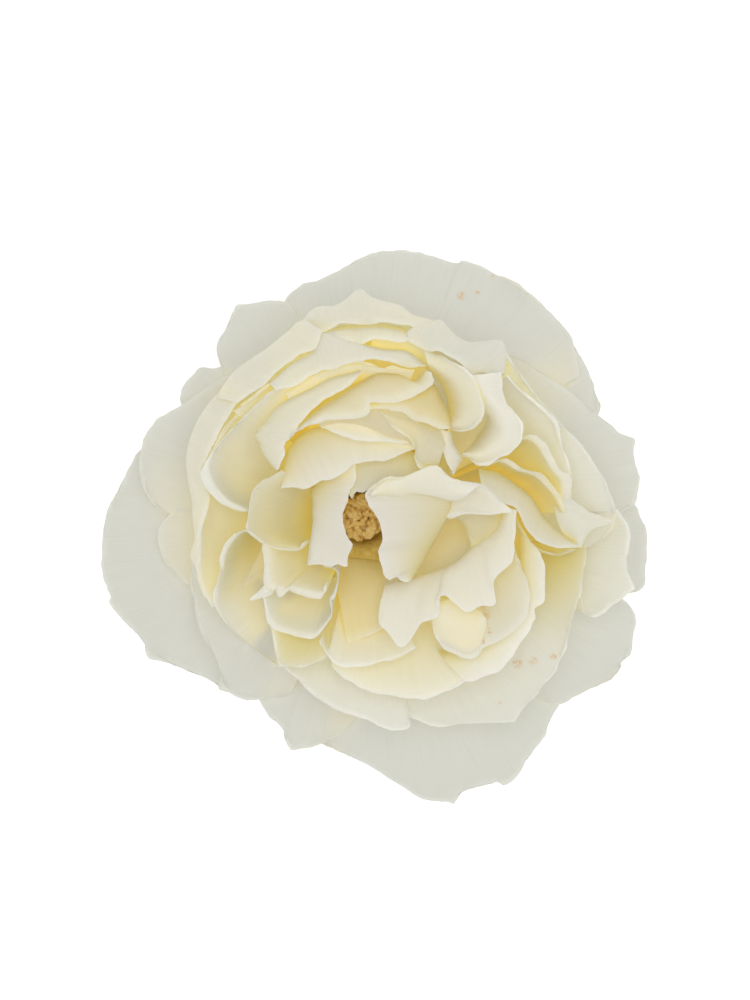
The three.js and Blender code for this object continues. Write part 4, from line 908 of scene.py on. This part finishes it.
def bent_sheet(name, grid, width, thickness, rim_share, bands=BANDS, foot_gold_and_shade_levels=NO_FOOT_GOLD_AND_SHADE):
    """A flat grid moved onto the given points, column by column, and made solid."""
    columns, rows = len(grid) - 1, len(grid[0]) - 1
    sheet = bmesh.new()
    bmesh.ops.create_grid(sheet, x_segments=columns, y_segments=rows, size=0.5)
    reach_of = sheet.verts.layers.float.new("reach")
    across_of = sheet.verts.layers.float.new("across")
    rim_pale_and_highlight_of = sheet.verts.layers.float.new("lip")
    foot_gold_and_shade_of = sheet.verts.layers.float.new("foot_gold_and_shade")
    length = (grid[columns // 2][0] - grid[columns // 2][rows]).length
    for vert in sheet.verts:
        i, j = round((vert.co.x + 0.5) * columns), round((vert.co.y + 0.5) * rows)
        vert[across_of], vert[reach_of] = i / columns, j / rows
        to_rim = (grid[i][j] - grid[i][rows]).length
        band = height_at(bands, i / columns)
        vert[rim_pale_and_highlight_of] = 1 - smooth_step(LIP_START * band, LIP_END * band + LIP_FADE, to_rim)
        # Painted shade and foot yellow, full from the claw to past the middle of the petal and gone at its
        # rim.
        foot_gold_and_shade = max(height_at(foot_gold_and_shade_levels, i / columns), 0)
        vert[foot_gold_and_shade_of] = FOOT_GOLD_AND_SHADE_SHARE * foot_gold_and_shade * (1 - smooth_step(FOOT_GOLD_AND_SHADE_START, FOOT_GOLD_AND_SHADE_END, j / rows))
        vert.co = (grid[i][j] + TO_FRAME) * MM
    veins = sheet.loops.layers.uv.new("veins")
    for face in sheet.faces:
        for loop in face.loops:
            across, reach = loop.vert[across_of], loop.vert[reach_of]
            loop[veins].uv = ((across - 0.5) * width, reach * length)
    mesh = bpy.data.meshes.new(name)
    sheet.to_mesh(mesh)
    sheet.free()
    piece = as_object(name, mesh)
    group = piece.vertex_groups.new(name="thickness")
    for vert, reach in zip(mesh.vertices, mesh.attributes["reach"].data):
        group.add([vert.index], mix(1, rim_share, smooth_step(THIN_FROM, 1, reach.value)), "REPLACE")
    skin = piece.modifiers.new("thickness", "SOLIDIFY")
    skin.thickness = thickness * MM
    skin.offset = 0
    skin.vertex_group = "thickness"
    apply_modifiers(piece)
    piece.data.shade_smooth()
    piece.data.set_sharp_from_angle(angle=SHARP_ANGLE)
    return piece


def make_petal(name, petal, number):
    width = outline_length(petal["rim"])
    columns = min(max(round(width / COLUMN_STEP), FEWEST_COLUMNS), MOST_COLUMNS)
    grid = petal_grid(petal, number, columns)
    foot_gold_and_shade_levels = petal.get("foot_gold_and_shade", FULL_FOOT_GOLD_AND_SHADE if name.startswith(("heart", "centre")) else NO_FOOT_GOLD_AND_SHADE)
    return bent_sheet(name, grid, width, THICKNESS, RIM_SHARE, petal.get("band", BANDS), foot_gold_and_shade_levels)


petals = {name: make_petal(name, petal, number) for number, (name, petal) in enumerate(PETALS.items())}
print("triangles in the petals:", sum(2 * len(p.data.polygons) for p in petals.values()))

# %% [markdown]
# ## How much sky each spot sees
# Light that falls between the petals bounces from one to the next, and loses blue at each bounce.
# That is why the crevices of a white rose are golden. A renderer needs very many bounces for it, so
# the openness of each spot is measured here and kept on the mesh, and the colour is read from it.

# %% Measure the openness
SEE_FAR = 26 * MM
RAYS = 26
LIFT = 0.3 * MM
GOLDEN_TURN = math.pi * (3 - math.sqrt(5))
NEAR_WEIGHT = 1.2
SOFTENINGS = 3


def dome_directions(count):
    """Directions spread evenly over a dome, denser round its pole, as light counts there."""
    result = []
    for k in range(count):
        share = (k + 0.5) / count
        radius = math.sqrt(share)
        angle = k * GOLDEN_TURN
        result.append(Vector((radius * math.cos(angle), radius * math.sin(angle), math.sqrt(1 - share))))
    return result


def all_faces(pieces):
    places, faces = [], []
    for piece in pieces:
        first = len(places)
        places += [vert.co.copy() for vert in piece.data.vertices]
        faces += [[first + k for k in face.vertices] for face in piece.data.polygons]
    return BVHTree.FromPolygons(places, faces)


def openness(piece, tree, directions):
    mesh = piece.data
    values = np.zeros(len(mesh.vertices))
    for k, vert in enumerate(mesh.vertices):
        normal = vert.normal
        side = normal.orthogonal().normalized()
        turn = Matrix((side, normal.cross(side), normal)).transposed()
        start = vert.co + normal * LIFT
        for direction in directions:
            distance = tree.ray_cast(start, turn @ direction, SEE_FAR)[3]
            values[k] += 1 if distance is None else (distance / SEE_FAR) ** NEAR_WEIGHT
    values /= len(directions)
    ends = np.zeros(len(mesh.edges) * 2, int)
    mesh.edges.foreach_get("vertices", ends)
    a, b = ends[0::2], ends[1::2]
    for _ in range(SOFTENINGS):
        total, count = values.copy(), np.ones(len(values))
        np.add.at(total, a, values[b])
        np.add.at(total, b, values[a])
        np.add.at(count, a, 1)
        np.add.at(count, b, 1)
        values = total / count
    layer = mesh.attributes.new("openness", "FLOAT", "POINT")
    layer.data.foreach_set("value", values.astype(np.float32))
    return values.mean()


tree = all_faces(petals.values())
dome = dome_directions(RAYS)
seen = {name: openness(piece, tree, dome) for name, piece in petals.items()}
print("openness:", {name: round(float(value), 2) for name, value in seen.items()})

# %% [markdown]
# ## Petal finish
# A petal is a thin, moist sheet: soft and matt on top, and light from behind shines through it. So
# the finish mixes a plain rough surface with a translucent one. Its colour goes from gold in the
# depths to cream and then to white where the petal sees the sky, and fine veins run up to the rim.
# A faint glow in the depths stands for the light that bounces there more often than the renderer
# follows. It isn't sampled as a lamp, which would double the time and look the same. A few petals are
# bruised, in small brown spots that are placed in the plan.

# %% The petal materials
def node(tree, kind, **values):
    made = tree.nodes.new(kind)
    for name, value in values.items():
        setattr(made, name, value)
    return made


def ramp(tree, source, stops):
    made = tree.nodes.new("ShaderNodeValToRGB")
    elements = made.color_ramp.elements
    while len(elements) < len(stops):
        elements.new(0.5)
    for element, (position, colour) in zip(elements, stops):
        element.position = position
        element.color = (*colour, 1)
    tree.links.new(source, made.inputs["Fac"])
    return made.outputs["Color"]


def maths(tree, operation, a, b):
    made = node(tree, "ShaderNodeMath", operation=operation)
    for socket, value in zip(made.inputs, (a, b)):
        if isinstance(value, (int, float)):
            socket.default_value = value
        else:
            tree.links.new(value, socket)
    return made.outputs["Value"]


def mix_colour(tree, share, a, b, blend="MIX"):
    made = node(tree, "ShaderNodeMix", data_type="RGBA", blend_type=blend)
    sockets = {s.identifier: s for s in made.inputs}
    for key, value in (("Factor_Float", share), ("A_Color", a), ("B_Color", b)):
        if isinstance(value, (int, float)):
            sockets[key].default_value = value
        elif isinstance(value, tuple):
            sockets[key].default_value = (*value, 1)
        else:
            tree.links.new(value, sockets[key])
    return next(s for s in made.outputs if s.identifier == "Result_Color")


# Each ramp runs over the openness, so its colour is painted shade: gold where a spot sees little sky, cream
# and white where it sees much.
GOLD_TO_CREAM = [
    (0.05, (0.945, 0.875, 0.40)),
    (0.16, (0.955, 0.905, 0.56)),
    (0.3, (0.955, 0.925, 0.72)),
    (0.46, (0.935, 0.92, 0.80)),
    (0.72, (0.91, 0.90, 0.835)),
]
GOLD_TO_WHITE = [
    (0.05, (0.955, 0.885, 0.44)),
    (0.16, (0.955, 0.915, 0.62)),
    (0.28, (0.945, 0.93, 0.785)),
    (0.42, (0.925, 0.92, 0.845)),
    (0.7, (0.90, 0.90, 0.85)),
]
# The outer ring: partly the cooler tone of the guard petals, partly painted shade, greyest at the most open
# spots where the tips droop.
COOL_AND_SHADED_STOPS = [
    (0.05, (0.95, 0.87, 0.53)),
    (0.2, (0.93, 0.90, 0.73)),
    (0.4, (0.91, 0.90, 0.81)),
    (0.65, (0.865, 0.865, 0.80)),
    (0.9, (0.825, 0.826, 0.77)),
]
# Painted shade: a deeper gold copy, for petals that lie in the shade of the petals above them.
PAINTED_SHADE_STOPS = [
    (0.05, (0.91, 0.81, 0.32)),
    (0.3, (0.94, 0.875, 0.53)),
    (0.6, (0.945, 0.90, 0.68)),
]
# Painted light: a lighter copy of the white finish, for middle petals that the lamp and sky reach too little.
PAINTED_LIGHT_STOPS = [
    (0.05, (0.96, 0.895, 0.46)),
    (0.16, (0.97, 0.94, 0.72)),
    (0.28, (0.975, 0.96, 0.85)),
    (0.42, (0.98, 0.97, 0.915)),
    (0.7, (0.975, 0.97, 0.93)),
]
# Rim band tones: partly the paler edge of the petal, partly a painted highlight.
RIM_PALE_AND_HIGHLIGHT, LIT_RIM_AND_HIGHLIGHT, PALE_RIM_AND_HIGHLIGHT = (0.98, 0.98, 0.95), (0.99, 0.99, 0.97), (0.88, 0.885, 0.85)
# The gold multiplied in towards the claw: foot yellow and painted shade.
FOOT_GOLD_AND_SHADE_COLOUR = (0.94, 0.857, 0.40)
GLOW_STOPS = [
    (0.0, (0.265, 0.222, 0.068)),
    (0.14, (0.165, 0.14, 0.05)),
    (0.3, (0.07, 0.06, 0.027)),
    (0.55, (0.01, 0.009, 0.005)),
]
STAIN_COLOUR = (0.80, 0.56, 0.30)
STAINS = {
    "heart": [(21.6, -17.4, 1.5), (22.4, -20.6, 1.0), (21.4, -22.4, 0.9), (21.0, -15.6, 0.9)],
    "bowl": [
        (28.4, -27.2, 1.3), (31.6, -26.8, 1.1), (35.6, -25.8, 0.8), (6.2, -35.8, 0.8),
        (24.8, -35.2, 0.7),
    ],
    "skirt": [
        (17.4, 46.4, 1.2), (20.6, 47.2, 0.7), (23.6, 50.2, 0.6), (45.2, 14.4, 0.7),
        (-19, -17.4, 0.6),
    ],
}


def stain_share(tree, places):
    """Where a petal is bruised: a few small spots, broken up by noise, given in the plan in millimetres."""
    place = node(tree, "ShaderNodeTexCoord").outputs["Object"]
    flat = node(tree, "ShaderNodeVectorMath", operation="MULTIPLY")
    flat.inputs[1].default_value = (1, 1, 0)
    tree.links.new(place, flat.inputs[0])
    total = 0.0
    for x, y, radius in places:
        far = node(tree, "ShaderNodeVectorMath", operation="DISTANCE")
        far.inputs[1].default_value = ((x + TO_FRAME.x) * MM, (y + TO_FRAME.y) * MM, 0)
        tree.links.new(flat.outputs["Vector"], far.inputs[0])
        near = node(tree, "ShaderNodeMapRange")
        near.inputs["From Min"].default_value = radius * MM
        near.inputs["From Max"].default_value = 0.2 * radius * MM
        tree.links.new(far.outputs["Value"], near.inputs["Value"])
        total = maths(tree, "ADD", total, near.outputs["Result"])
    patches = node(tree, "ShaderNodeTexNoise")
    patches.inputs["Scale"].default_value = 1400.0
    patches.inputs["Detail"].default_value = 4.0
    tree.links.new(place, patches.inputs["Vector"])
    broken = node(tree, "ShaderNodeMapRange")
    broken.inputs["From Min"].default_value = 0.42
    broken.inputs["From Max"].default_value = 0.62
    tree.links.new(patches.outputs["Fac"], broken.inputs["Value"])
    return maths(tree, "MULTIPLY", total, broken.outputs["Result"])


def petal_material(name, stops, rim_and_highlight, see_through, stains):
    finish = bpy.data.materials.new(name)
    finish.use_nodes = True
    tree = finish.node_tree
    surface = tree.nodes["Principled BSDF"]
    open_share = node(tree, "ShaderNodeAttribute", attribute_name="openness").outputs["Fac"]
    # The body colour is painted shade, read from how much sky each spot sees.
    body = ramp(tree, open_share, stops)
    # Towards the rim the colour goes to the rim tone: partly the paler edge, partly a painted highlight.
    lip = node(tree, "ShaderNodeAttribute", attribute_name="lip").outputs["Fac"]
    colour = mix_colour(tree, maths(tree, "MULTIPLY", lip, 0.65), body, rim_and_highlight)
    # Painted shade and foot yellow, multiplied in towards the claw.
    foot_gold_and_shade = node(tree, "ShaderNodeAttribute", attribute_name="foot_gold_and_shade").outputs["Fac"]
    colour = mix_colour(tree, foot_gold_and_shade, colour, FOOT_GOLD_AND_SHADE_COLOUR, "MULTIPLY")
    veins = node(tree, "ShaderNodeUVMap", uv_map="veins").outputs["UV"]
    stretch = node(tree, "ShaderNodeMapping")
    stretch.inputs["Scale"].default_value = (2.6, 0.12, 1)
    tree.links.new(veins, stretch.inputs["Vector"])
    lines = node(tree, "ShaderNodeTexNoise")
    lines.inputs["Scale"].default_value = 1.0
    lines.inputs["Detail"].default_value = 2.0
    tree.links.new(stretch.outputs["Vector"], lines.inputs["Vector"])
    shade = ramp(tree, lines.outputs["Fac"], [(0.3, (0.97, 0.965, 0.945)), (0.6, (1, 1, 1))])
    colour = mix_colour(tree, 0.8, colour, shade, "MULTIPLY")
    if stains:
        colour = mix_colour(tree, stain_share(tree, stains), colour, STAIN_COLOUR)
    tree.links.new(colour, surface.inputs["Base Color"])
    tree.links.new(ramp(tree, open_share, GLOW_STOPS), surface.inputs["Emission Color"])
    surface.inputs["Emission Strength"].default_value = 1.0
    finish.cycles.emission_sampling = "NONE"
    surface.inputs["Roughness"].default_value = 0.5
    surface.inputs["Specular IOR Level"].default_value = 0.25
    bump = node(tree, "ShaderNodeBump")
    bump.inputs["Strength"].default_value = 0.12
    bump.inputs["Distance"].default_value = 0.00006
    tree.links.new(lines.outputs["Fac"], bump.inputs["Height"])
    tree.links.new(bump.outputs["Normal"], surface.inputs["Normal"])
    glow = node(tree, "ShaderNodeBsdfTranslucent")
    tree.links.new(colour, glow.inputs["Color"])
    both = node(tree, "ShaderNodeMixShader")
    both.inputs["Fac"].default_value = see_through
    tree.links.new(surface.outputs["BSDF"], both.inputs[1])
    tree.links.new(glow.outputs["BSDF"], both.inputs[2])
    tree.links.new(both.outputs["Shader"], tree.nodes["Material Output"].inputs["Surface"])
    return finish


# Lit and shaded copies of one finish: the lightest is painted light, the deepest gold is painted shade, and
# the outer ring's greyer one is partly a cooler tone and partly painted shade.
KINDS = {
    "cream": (GOLD_TO_CREAM, RIM_PALE_AND_HIGHLIGHT, 0.5),
    "painted_shade_gold": (PAINTED_SHADE_STOPS, RIM_PALE_AND_HIGHLIGHT, 0.5),
    "painted_light_white": (PAINTED_LIGHT_STOPS, LIT_RIM_AND_HIGHLIGHT, 0.5),
    "white": (GOLD_TO_WHITE, RIM_PALE_AND_HIGHLIGHT, 0.4),
    "pale": (COOL_AND_SHADED_STOPS, PALE_RIM_AND_HIGHLIGHT, 0.3),
}
kinds = {name: petal_material(f"{name}_petal", *values, []) for name, values in KINDS.items()}
for name, marks in (("cream", "heart"), ("white", "bowl"), ("pale", "skirt")):
    kinds[f"marked_{name}"] = petal_material(f"marked_{name}_petal", *KINDS[name], STAINS[marks])
CHOSEN = {
    "white": ["heart_upper_left", "heart_lower_left", "heart_right_wing", "skirt_right_inner"],
    "painted_light_white": [
        "heart_lower_right", "heart_bottom_cup", "heart_bottom_small", "heart_scoop", "heart_thumb",
        "heart_front_lobe", "heart_lens", "heart_left_wing", "heart_hood", "heart_left_star",
        "heart_crescent", "centre_strip", "flap_left", "flap_right", "flap_corner", "flap_right_lip",
    ],
    "painted_shade_gold": ["heart_tan", "heart_top_right"],
    "marked_pale": ["skirt_top"],
    "marked_white": ["bowl_bottom_right"],
    "marked_cream": ["heart_round_lobe"],
}
finishes = dict.fromkeys(PETALS, kinds["cream"])
finishes.update({name: kinds["pale"] for name in PALE})
finishes.update({name: kinds["white"] for name in PETALS if name.startswith("bowl")})
for kind, names in CHOSEN.items():
    finishes.update(dict.fromkeys(names, kinds[kind]))
for name, piece in petals.items():
    piece.data.materials.clear()
    piece.data.materials.append(finishes[name])
    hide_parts("petals")
    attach(piece, "root")
print("materials:", sorted({finish.name for finish in finishes.values()}))

# %% [markdown]
# ## The middle of the flower
# Between the two middle petals the stamens show: thin threads with bean shaped anthers, so many that
# they hide what is behind. They could be a bump on a lump, but their edges would be too soft. Each one
# is made of two small shapes, copied round the ring with a seeded draw, on the foot of the solids.

# %% Plain finishes for the middle and the green parts
def plain_finish(name, dark, light, grain):
    """A matt colour that wanders between two tones, with a grain of that size in millimetres."""
    finish = bpy.data.materials.new(name)
    finish.use_nodes = True
    tree = finish.node_tree
    surface = tree.nodes["Principled BSDF"]
    place = node(tree, "ShaderNodeTexCoord").outputs["Object"]
    speckle = node(tree, "ShaderNodeTexNoise")
    speckle.inputs["Scale"].default_value = 1 / (grain * MM)
    speckle.inputs["Detail"].default_value = 3.0
    tree.links.new(place, speckle.inputs["Vector"])
    colour = ramp(tree, speckle.outputs["Fac"], [(0.35, dark), (0.65, light)])
    tree.links.new(colour, surface.inputs["Base Color"])
    surface.inputs["Roughness"].default_value = 0.6
    surface.inputs["Specular IOR Level"].default_value = 0.3
    return finish


pollen = plain_finish("pollen", (0.70, 0.44, 0.12), (0.88, 0.66, 0.28), 1.6)
pale_green = plain_finish("pale_green", (0.80, 0.70, 0.30), (0.90, 0.82, 0.45), 1.2)
core_gold = plain_finish("core_gold", (0.66, 0.46, 0.09), (0.80, 0.62, 0.19), 1.2)
leaf_green = plain_finish("leaf_green", (0.10, 0.19, 0.05), (0.22, 0.33, 0.10), 5.0)
print("finishes:", pollen.name, pale_green.name, core_gold.name, leaf_green.name)

# %% The receptacle, turned from its half outline
PIT_FLOOR = 17.8
GAP = 0.3
RECEPTACLE = [
    (0, 12.2), (11, 12.2), (15, 14.5), (15, 19), (13, 22), (7, 22), (5, 20), (4.6, PIT_FLOOR),
    (0, PIT_FLOOR),
]
TURN_STEPS = 48


def finish_mesh(name, shape, material):
    mesh = bpy.data.meshes.new(name)
    shape.to_mesh(mesh)
    shape.free()
    mesh.shade_smooth()
    mesh.set_sharp_from_angle(angle=SHARP_ANGLE)
    mesh.materials.append(material)
    return as_object(name, mesh)


def place_on_axis(shape, height):
    middle = Vector((*AXIS, height)) + TO_FRAME
    bmesh.ops.scale(shape, vec=(MM, MM, MM), verts=shape.verts)
    bmesh.ops.translate(shape, vec=middle * MM, verts=shape.verts)


def turned(outline, height=0):
    """A body turned round the axis of the flower from a half outline."""
    shape = bmesh.new()
    verts = [shape.verts.new((radius, 0, z)) for radius, z in outline]
    edges = [shape.edges.new(pair) for pair in zip(verts, verts[1:])]
    bmesh.ops.spin(
        shape, geom=verts + edges, cent=(0, 0, 0), axis=(0, 0, 1), angle=math.tau, steps=TURN_STEPS,
        use_merge=True,
    )
    bmesh.ops.remove_doubles(shape, verts=shape.verts, dist=0.001)
    bmesh.ops.recalc_face_normals(shape, faces=shape.faces)
    place_on_axis(shape, height)
    return shape


receptacle = finish_mesh("receptacle", turned(RECEPTACLE), core_gold)
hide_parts("petals")
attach(receptacle, "root")
print("receptacle width in mm:", 2 * RECEPTACLE[2][0])

# %% The stamens on their foot
FOOT_INNER, FOOT_OUTER, FOOT_HEIGHT = 1.7, 3.7, 0.8
FOOT_MARGIN, FOOT_SUNK = 0.3, 0.6
STAMEN_COUNT = 84
STAMEN_HEIGHT, SHORTEST_STAMEN = 6.6, 0.74
TIPS_INNER, TIPS_OUTER = 0.3, 4.2
THREAD_RADIUS, THREAD_TAPER, THREAD_SIDES = 0.14, 0.7, 6
ANTHER = Vector((0.72, 0.95, 0.7))
SMALLEST_ANTHER, LARGEST_ANTHER = 0.85, 1.15
WAIST, WAIST_WIDENING = 0.62, 1.8
random.seed(11)


def around(angle, radius, height):
    return Vector((radius * math.cos(angle), radius * math.sin(angle), height))


def add_thread(shape, low, high, radius):
    """A thin tapered rod between two points."""
    length = (high - low).length
    turn = (high - low).to_track_quat("Z", "Y").to_matrix().to_4x4()
    where = Matrix.Translation((low + high) / 2) @ turn
    bmesh.ops.create_cone(
        shape, cap_ends=True, segments=THREAD_SIDES, radius1=radius, radius2=radius * THREAD_TAPER,
        depth=length, matrix=where,
    )


def add_bean(shape, tip, size, turn):
    """A bean: a ball drawn out and pinched in at its waist."""
    made = bmesh.ops.create_icosphere(shape, subdivisions=2, radius=1)
    for vert in made["verts"]:
        waist = mix(WAIST, 1, min(abs(vert.co.y) * WAIST_WIDENING, 1))
        vert.co = Vector((vert.co.x * size.x * waist, vert.co.y * size.y, vert.co.z * size.z * waist))
    where = Matrix.Translation(tip) @ turn.to_matrix().to_4x4()
    bmesh.ops.transform(shape, matrix=where, verts=made["verts"])


stamen_shape = turned(
    [(FOOT_INNER, 0), (FOOT_OUTER, 0), (FOOT_OUTER, FOOT_HEIGHT), (FOOT_INNER, FOOT_HEIGHT), (FOOT_INNER, 0)],
    PIT_FLOOR + GAP,
)
bunch = bmesh.new()
for k in range(STAMEN_COUNT):
    angle = k * GOLDEN_TURN
    foot = mix(FOOT_INNER + FOOT_MARGIN, FOOT_OUTER - FOOT_MARGIN, random.random())
    lean = mix(TIPS_INNER, TIPS_OUTER, math.sqrt((k + 0.5) / STAMEN_COUNT))
    height = STAMEN_HEIGHT * mix(SHORTEST_STAMEN, 1, random.random())
    low, high = around(angle, foot, FOOT_HEIGHT * FOOT_SUNK), around(angle, lean, height)
    add_thread(bunch, low, high, THREAD_RADIUS)
    turn = Vector((0, 0, 1)).rotation_difference((high - low).normalized())
    spin = Matrix.Rotation(random.uniform(0, math.pi), 3, "Z").to_quaternion()
    add_bean(bunch, high, ANTHER * random.uniform(SMALLEST_ANTHER, LARGEST_ANTHER), turn @ spin)
place_on_axis(bunch, PIT_FLOOR + GAP)
bunch_mesh = bpy.data.meshes.new("bunch")
bunch.to_mesh(bunch_mesh)
bunch.free()
stamen_shape.from_mesh(bunch_mesh)
bpy.data.meshes.remove(bunch_mesh)
stamens = finish_mesh("stamens", stamen_shape, pollen)
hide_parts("stamens")
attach(stamens, "root")
print("stamens:", STAMEN_COUNT, "triangles:", 2 * len(stamens.data.polygons))

# %% The styles, a tuft of short threads with round tips
STYLE_COUNT = 16
STYLE_HEIGHT, SHORTEST_STYLE, LONGEST_STYLE = 4.2, 0.82, 0.95
STYLE_SPREAD, STYLE_GATHER, STYLE_RADIUS = 1.0, 0.7, 0.16
STYLE_TIP = Vector((0.22, 0.22, 0.2))
tuft = bmesh.new()
for k in range(STYLE_COUNT):
    angle = k * GOLDEN_TURN
    radius = STYLE_SPREAD * math.sqrt((k + 0.5) / STYLE_COUNT)
    height = STYLE_HEIGHT * mix(SHORTEST_STYLE, LONGEST_STYLE, random.random())
    high = around(angle, radius, height)
    add_thread(tuft, around(angle, STYLE_GATHER * radius, 0), high, STYLE_RADIUS)
    add_bean(tuft, high, STYLE_TIP, Matrix.Identity(3).to_quaternion())
place_on_axis(tuft, PIT_FLOOR + GAP)
styles = finish_mesh("styles", tuft, pale_green)
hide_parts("styles")
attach(styles, "root")
print("styles:", STYLE_COUNT)

# %% [markdown]
# ## Hip and sepals
# They are only seen from the side and from below. The hip is turned from the same half outline as in
# the solids, and the sepals are bent sheets like the petals.

# %% The hip with its cut stub, and five sepals
HIP_TOP = RECEPTACLE[0][1] - GAP
HIP = [
    (0, 0), (2.6, 0), (2.6, 2.6), (4.7, 4.4), (5.4, 6.2), (5.2, 7.8), (4.4, 10.2), (4.8, 11.2),
    (6, HIP_TOP), (0, HIP_TOP),
]
SEPAL_COUNT, SEPAL_TURN = 5, 0.3
SEPAL_INNER, SEPAL_LENGTH, SEPAL_HALF = 3.0, 25.0, 3.6
SEPAL_ROOT, SEPAL_DROOP, SEPAL_HOLLOW = 11.0, 8.0, 0.8
SEPAL_UNEVEN, SEPAL_HUMP = 0.35, 3.0
SEPAL_SWELL_FROM, SEPAL_SWELL_TO = 0.28, 0.96
SEPAL_THICKNESS, SEPAL_RIM_SHARE = 0.7, 0.6
FIRST_SEPAL_ROW, SEPAL_ROW_STEP = 500, 3
SEPAL_COLUMNS, SEPAL_ROWS = 14, 40


def sepal_grid(angle, number):
    side = Vector((-math.sin(angle), math.cos(angle), 0))
    grid = []
    for i in range(SEPAL_COLUMNS + 1):
        across = 2 * i / SEPAL_COLUMNS - 1
        column = []
        for j in range(SEPAL_ROWS + 1):
            share = j / SEPAL_ROWS
            half = SEPAL_HALF * math.sin(math.pi * mix(SEPAL_SWELL_FROM, SEPAL_SWELL_TO, share))
            uneven = SEPAL_UNEVEN * wander(share * SEPAL_LENGTH, SEPAL_HUMP, number + round(across))
            half += uneven * smooth_step(0.1, 0.3, share)
            height = SEPAL_ROOT - SEPAL_DROOP * share**2 - SEPAL_HOLLOW * across**2
            spine = around(angle, mix(SEPAL_INNER, SEPAL_LENGTH, share), height) + Vector((*AXIS, 0))
            column.append(spine + side * across * half)
        grid.append(column)
    return grid


def green_part(piece):
    piece.data.materials.clear()
    piece.data.materials.append(leaf_green)
    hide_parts("calyx")
    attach(piece, "root")


green_part(finish_mesh("hip", turned(HIP), leaf_green))
for k in range(SEPAL_COUNT):
    grid = sepal_grid(SEPAL_TURN + k * math.tau / SEPAL_COUNT, FIRST_SEPAL_ROW + SEPAL_ROW_STEP * k)
    green_part(bent_sheet(f"sepal_{k + 1}", grid, 2 * SEPAL_HALF, SEPAL_THICKNESS, SEPAL_RIM_SHARE))
print("hip and sepals:", 1 + SEPAL_COUNT)
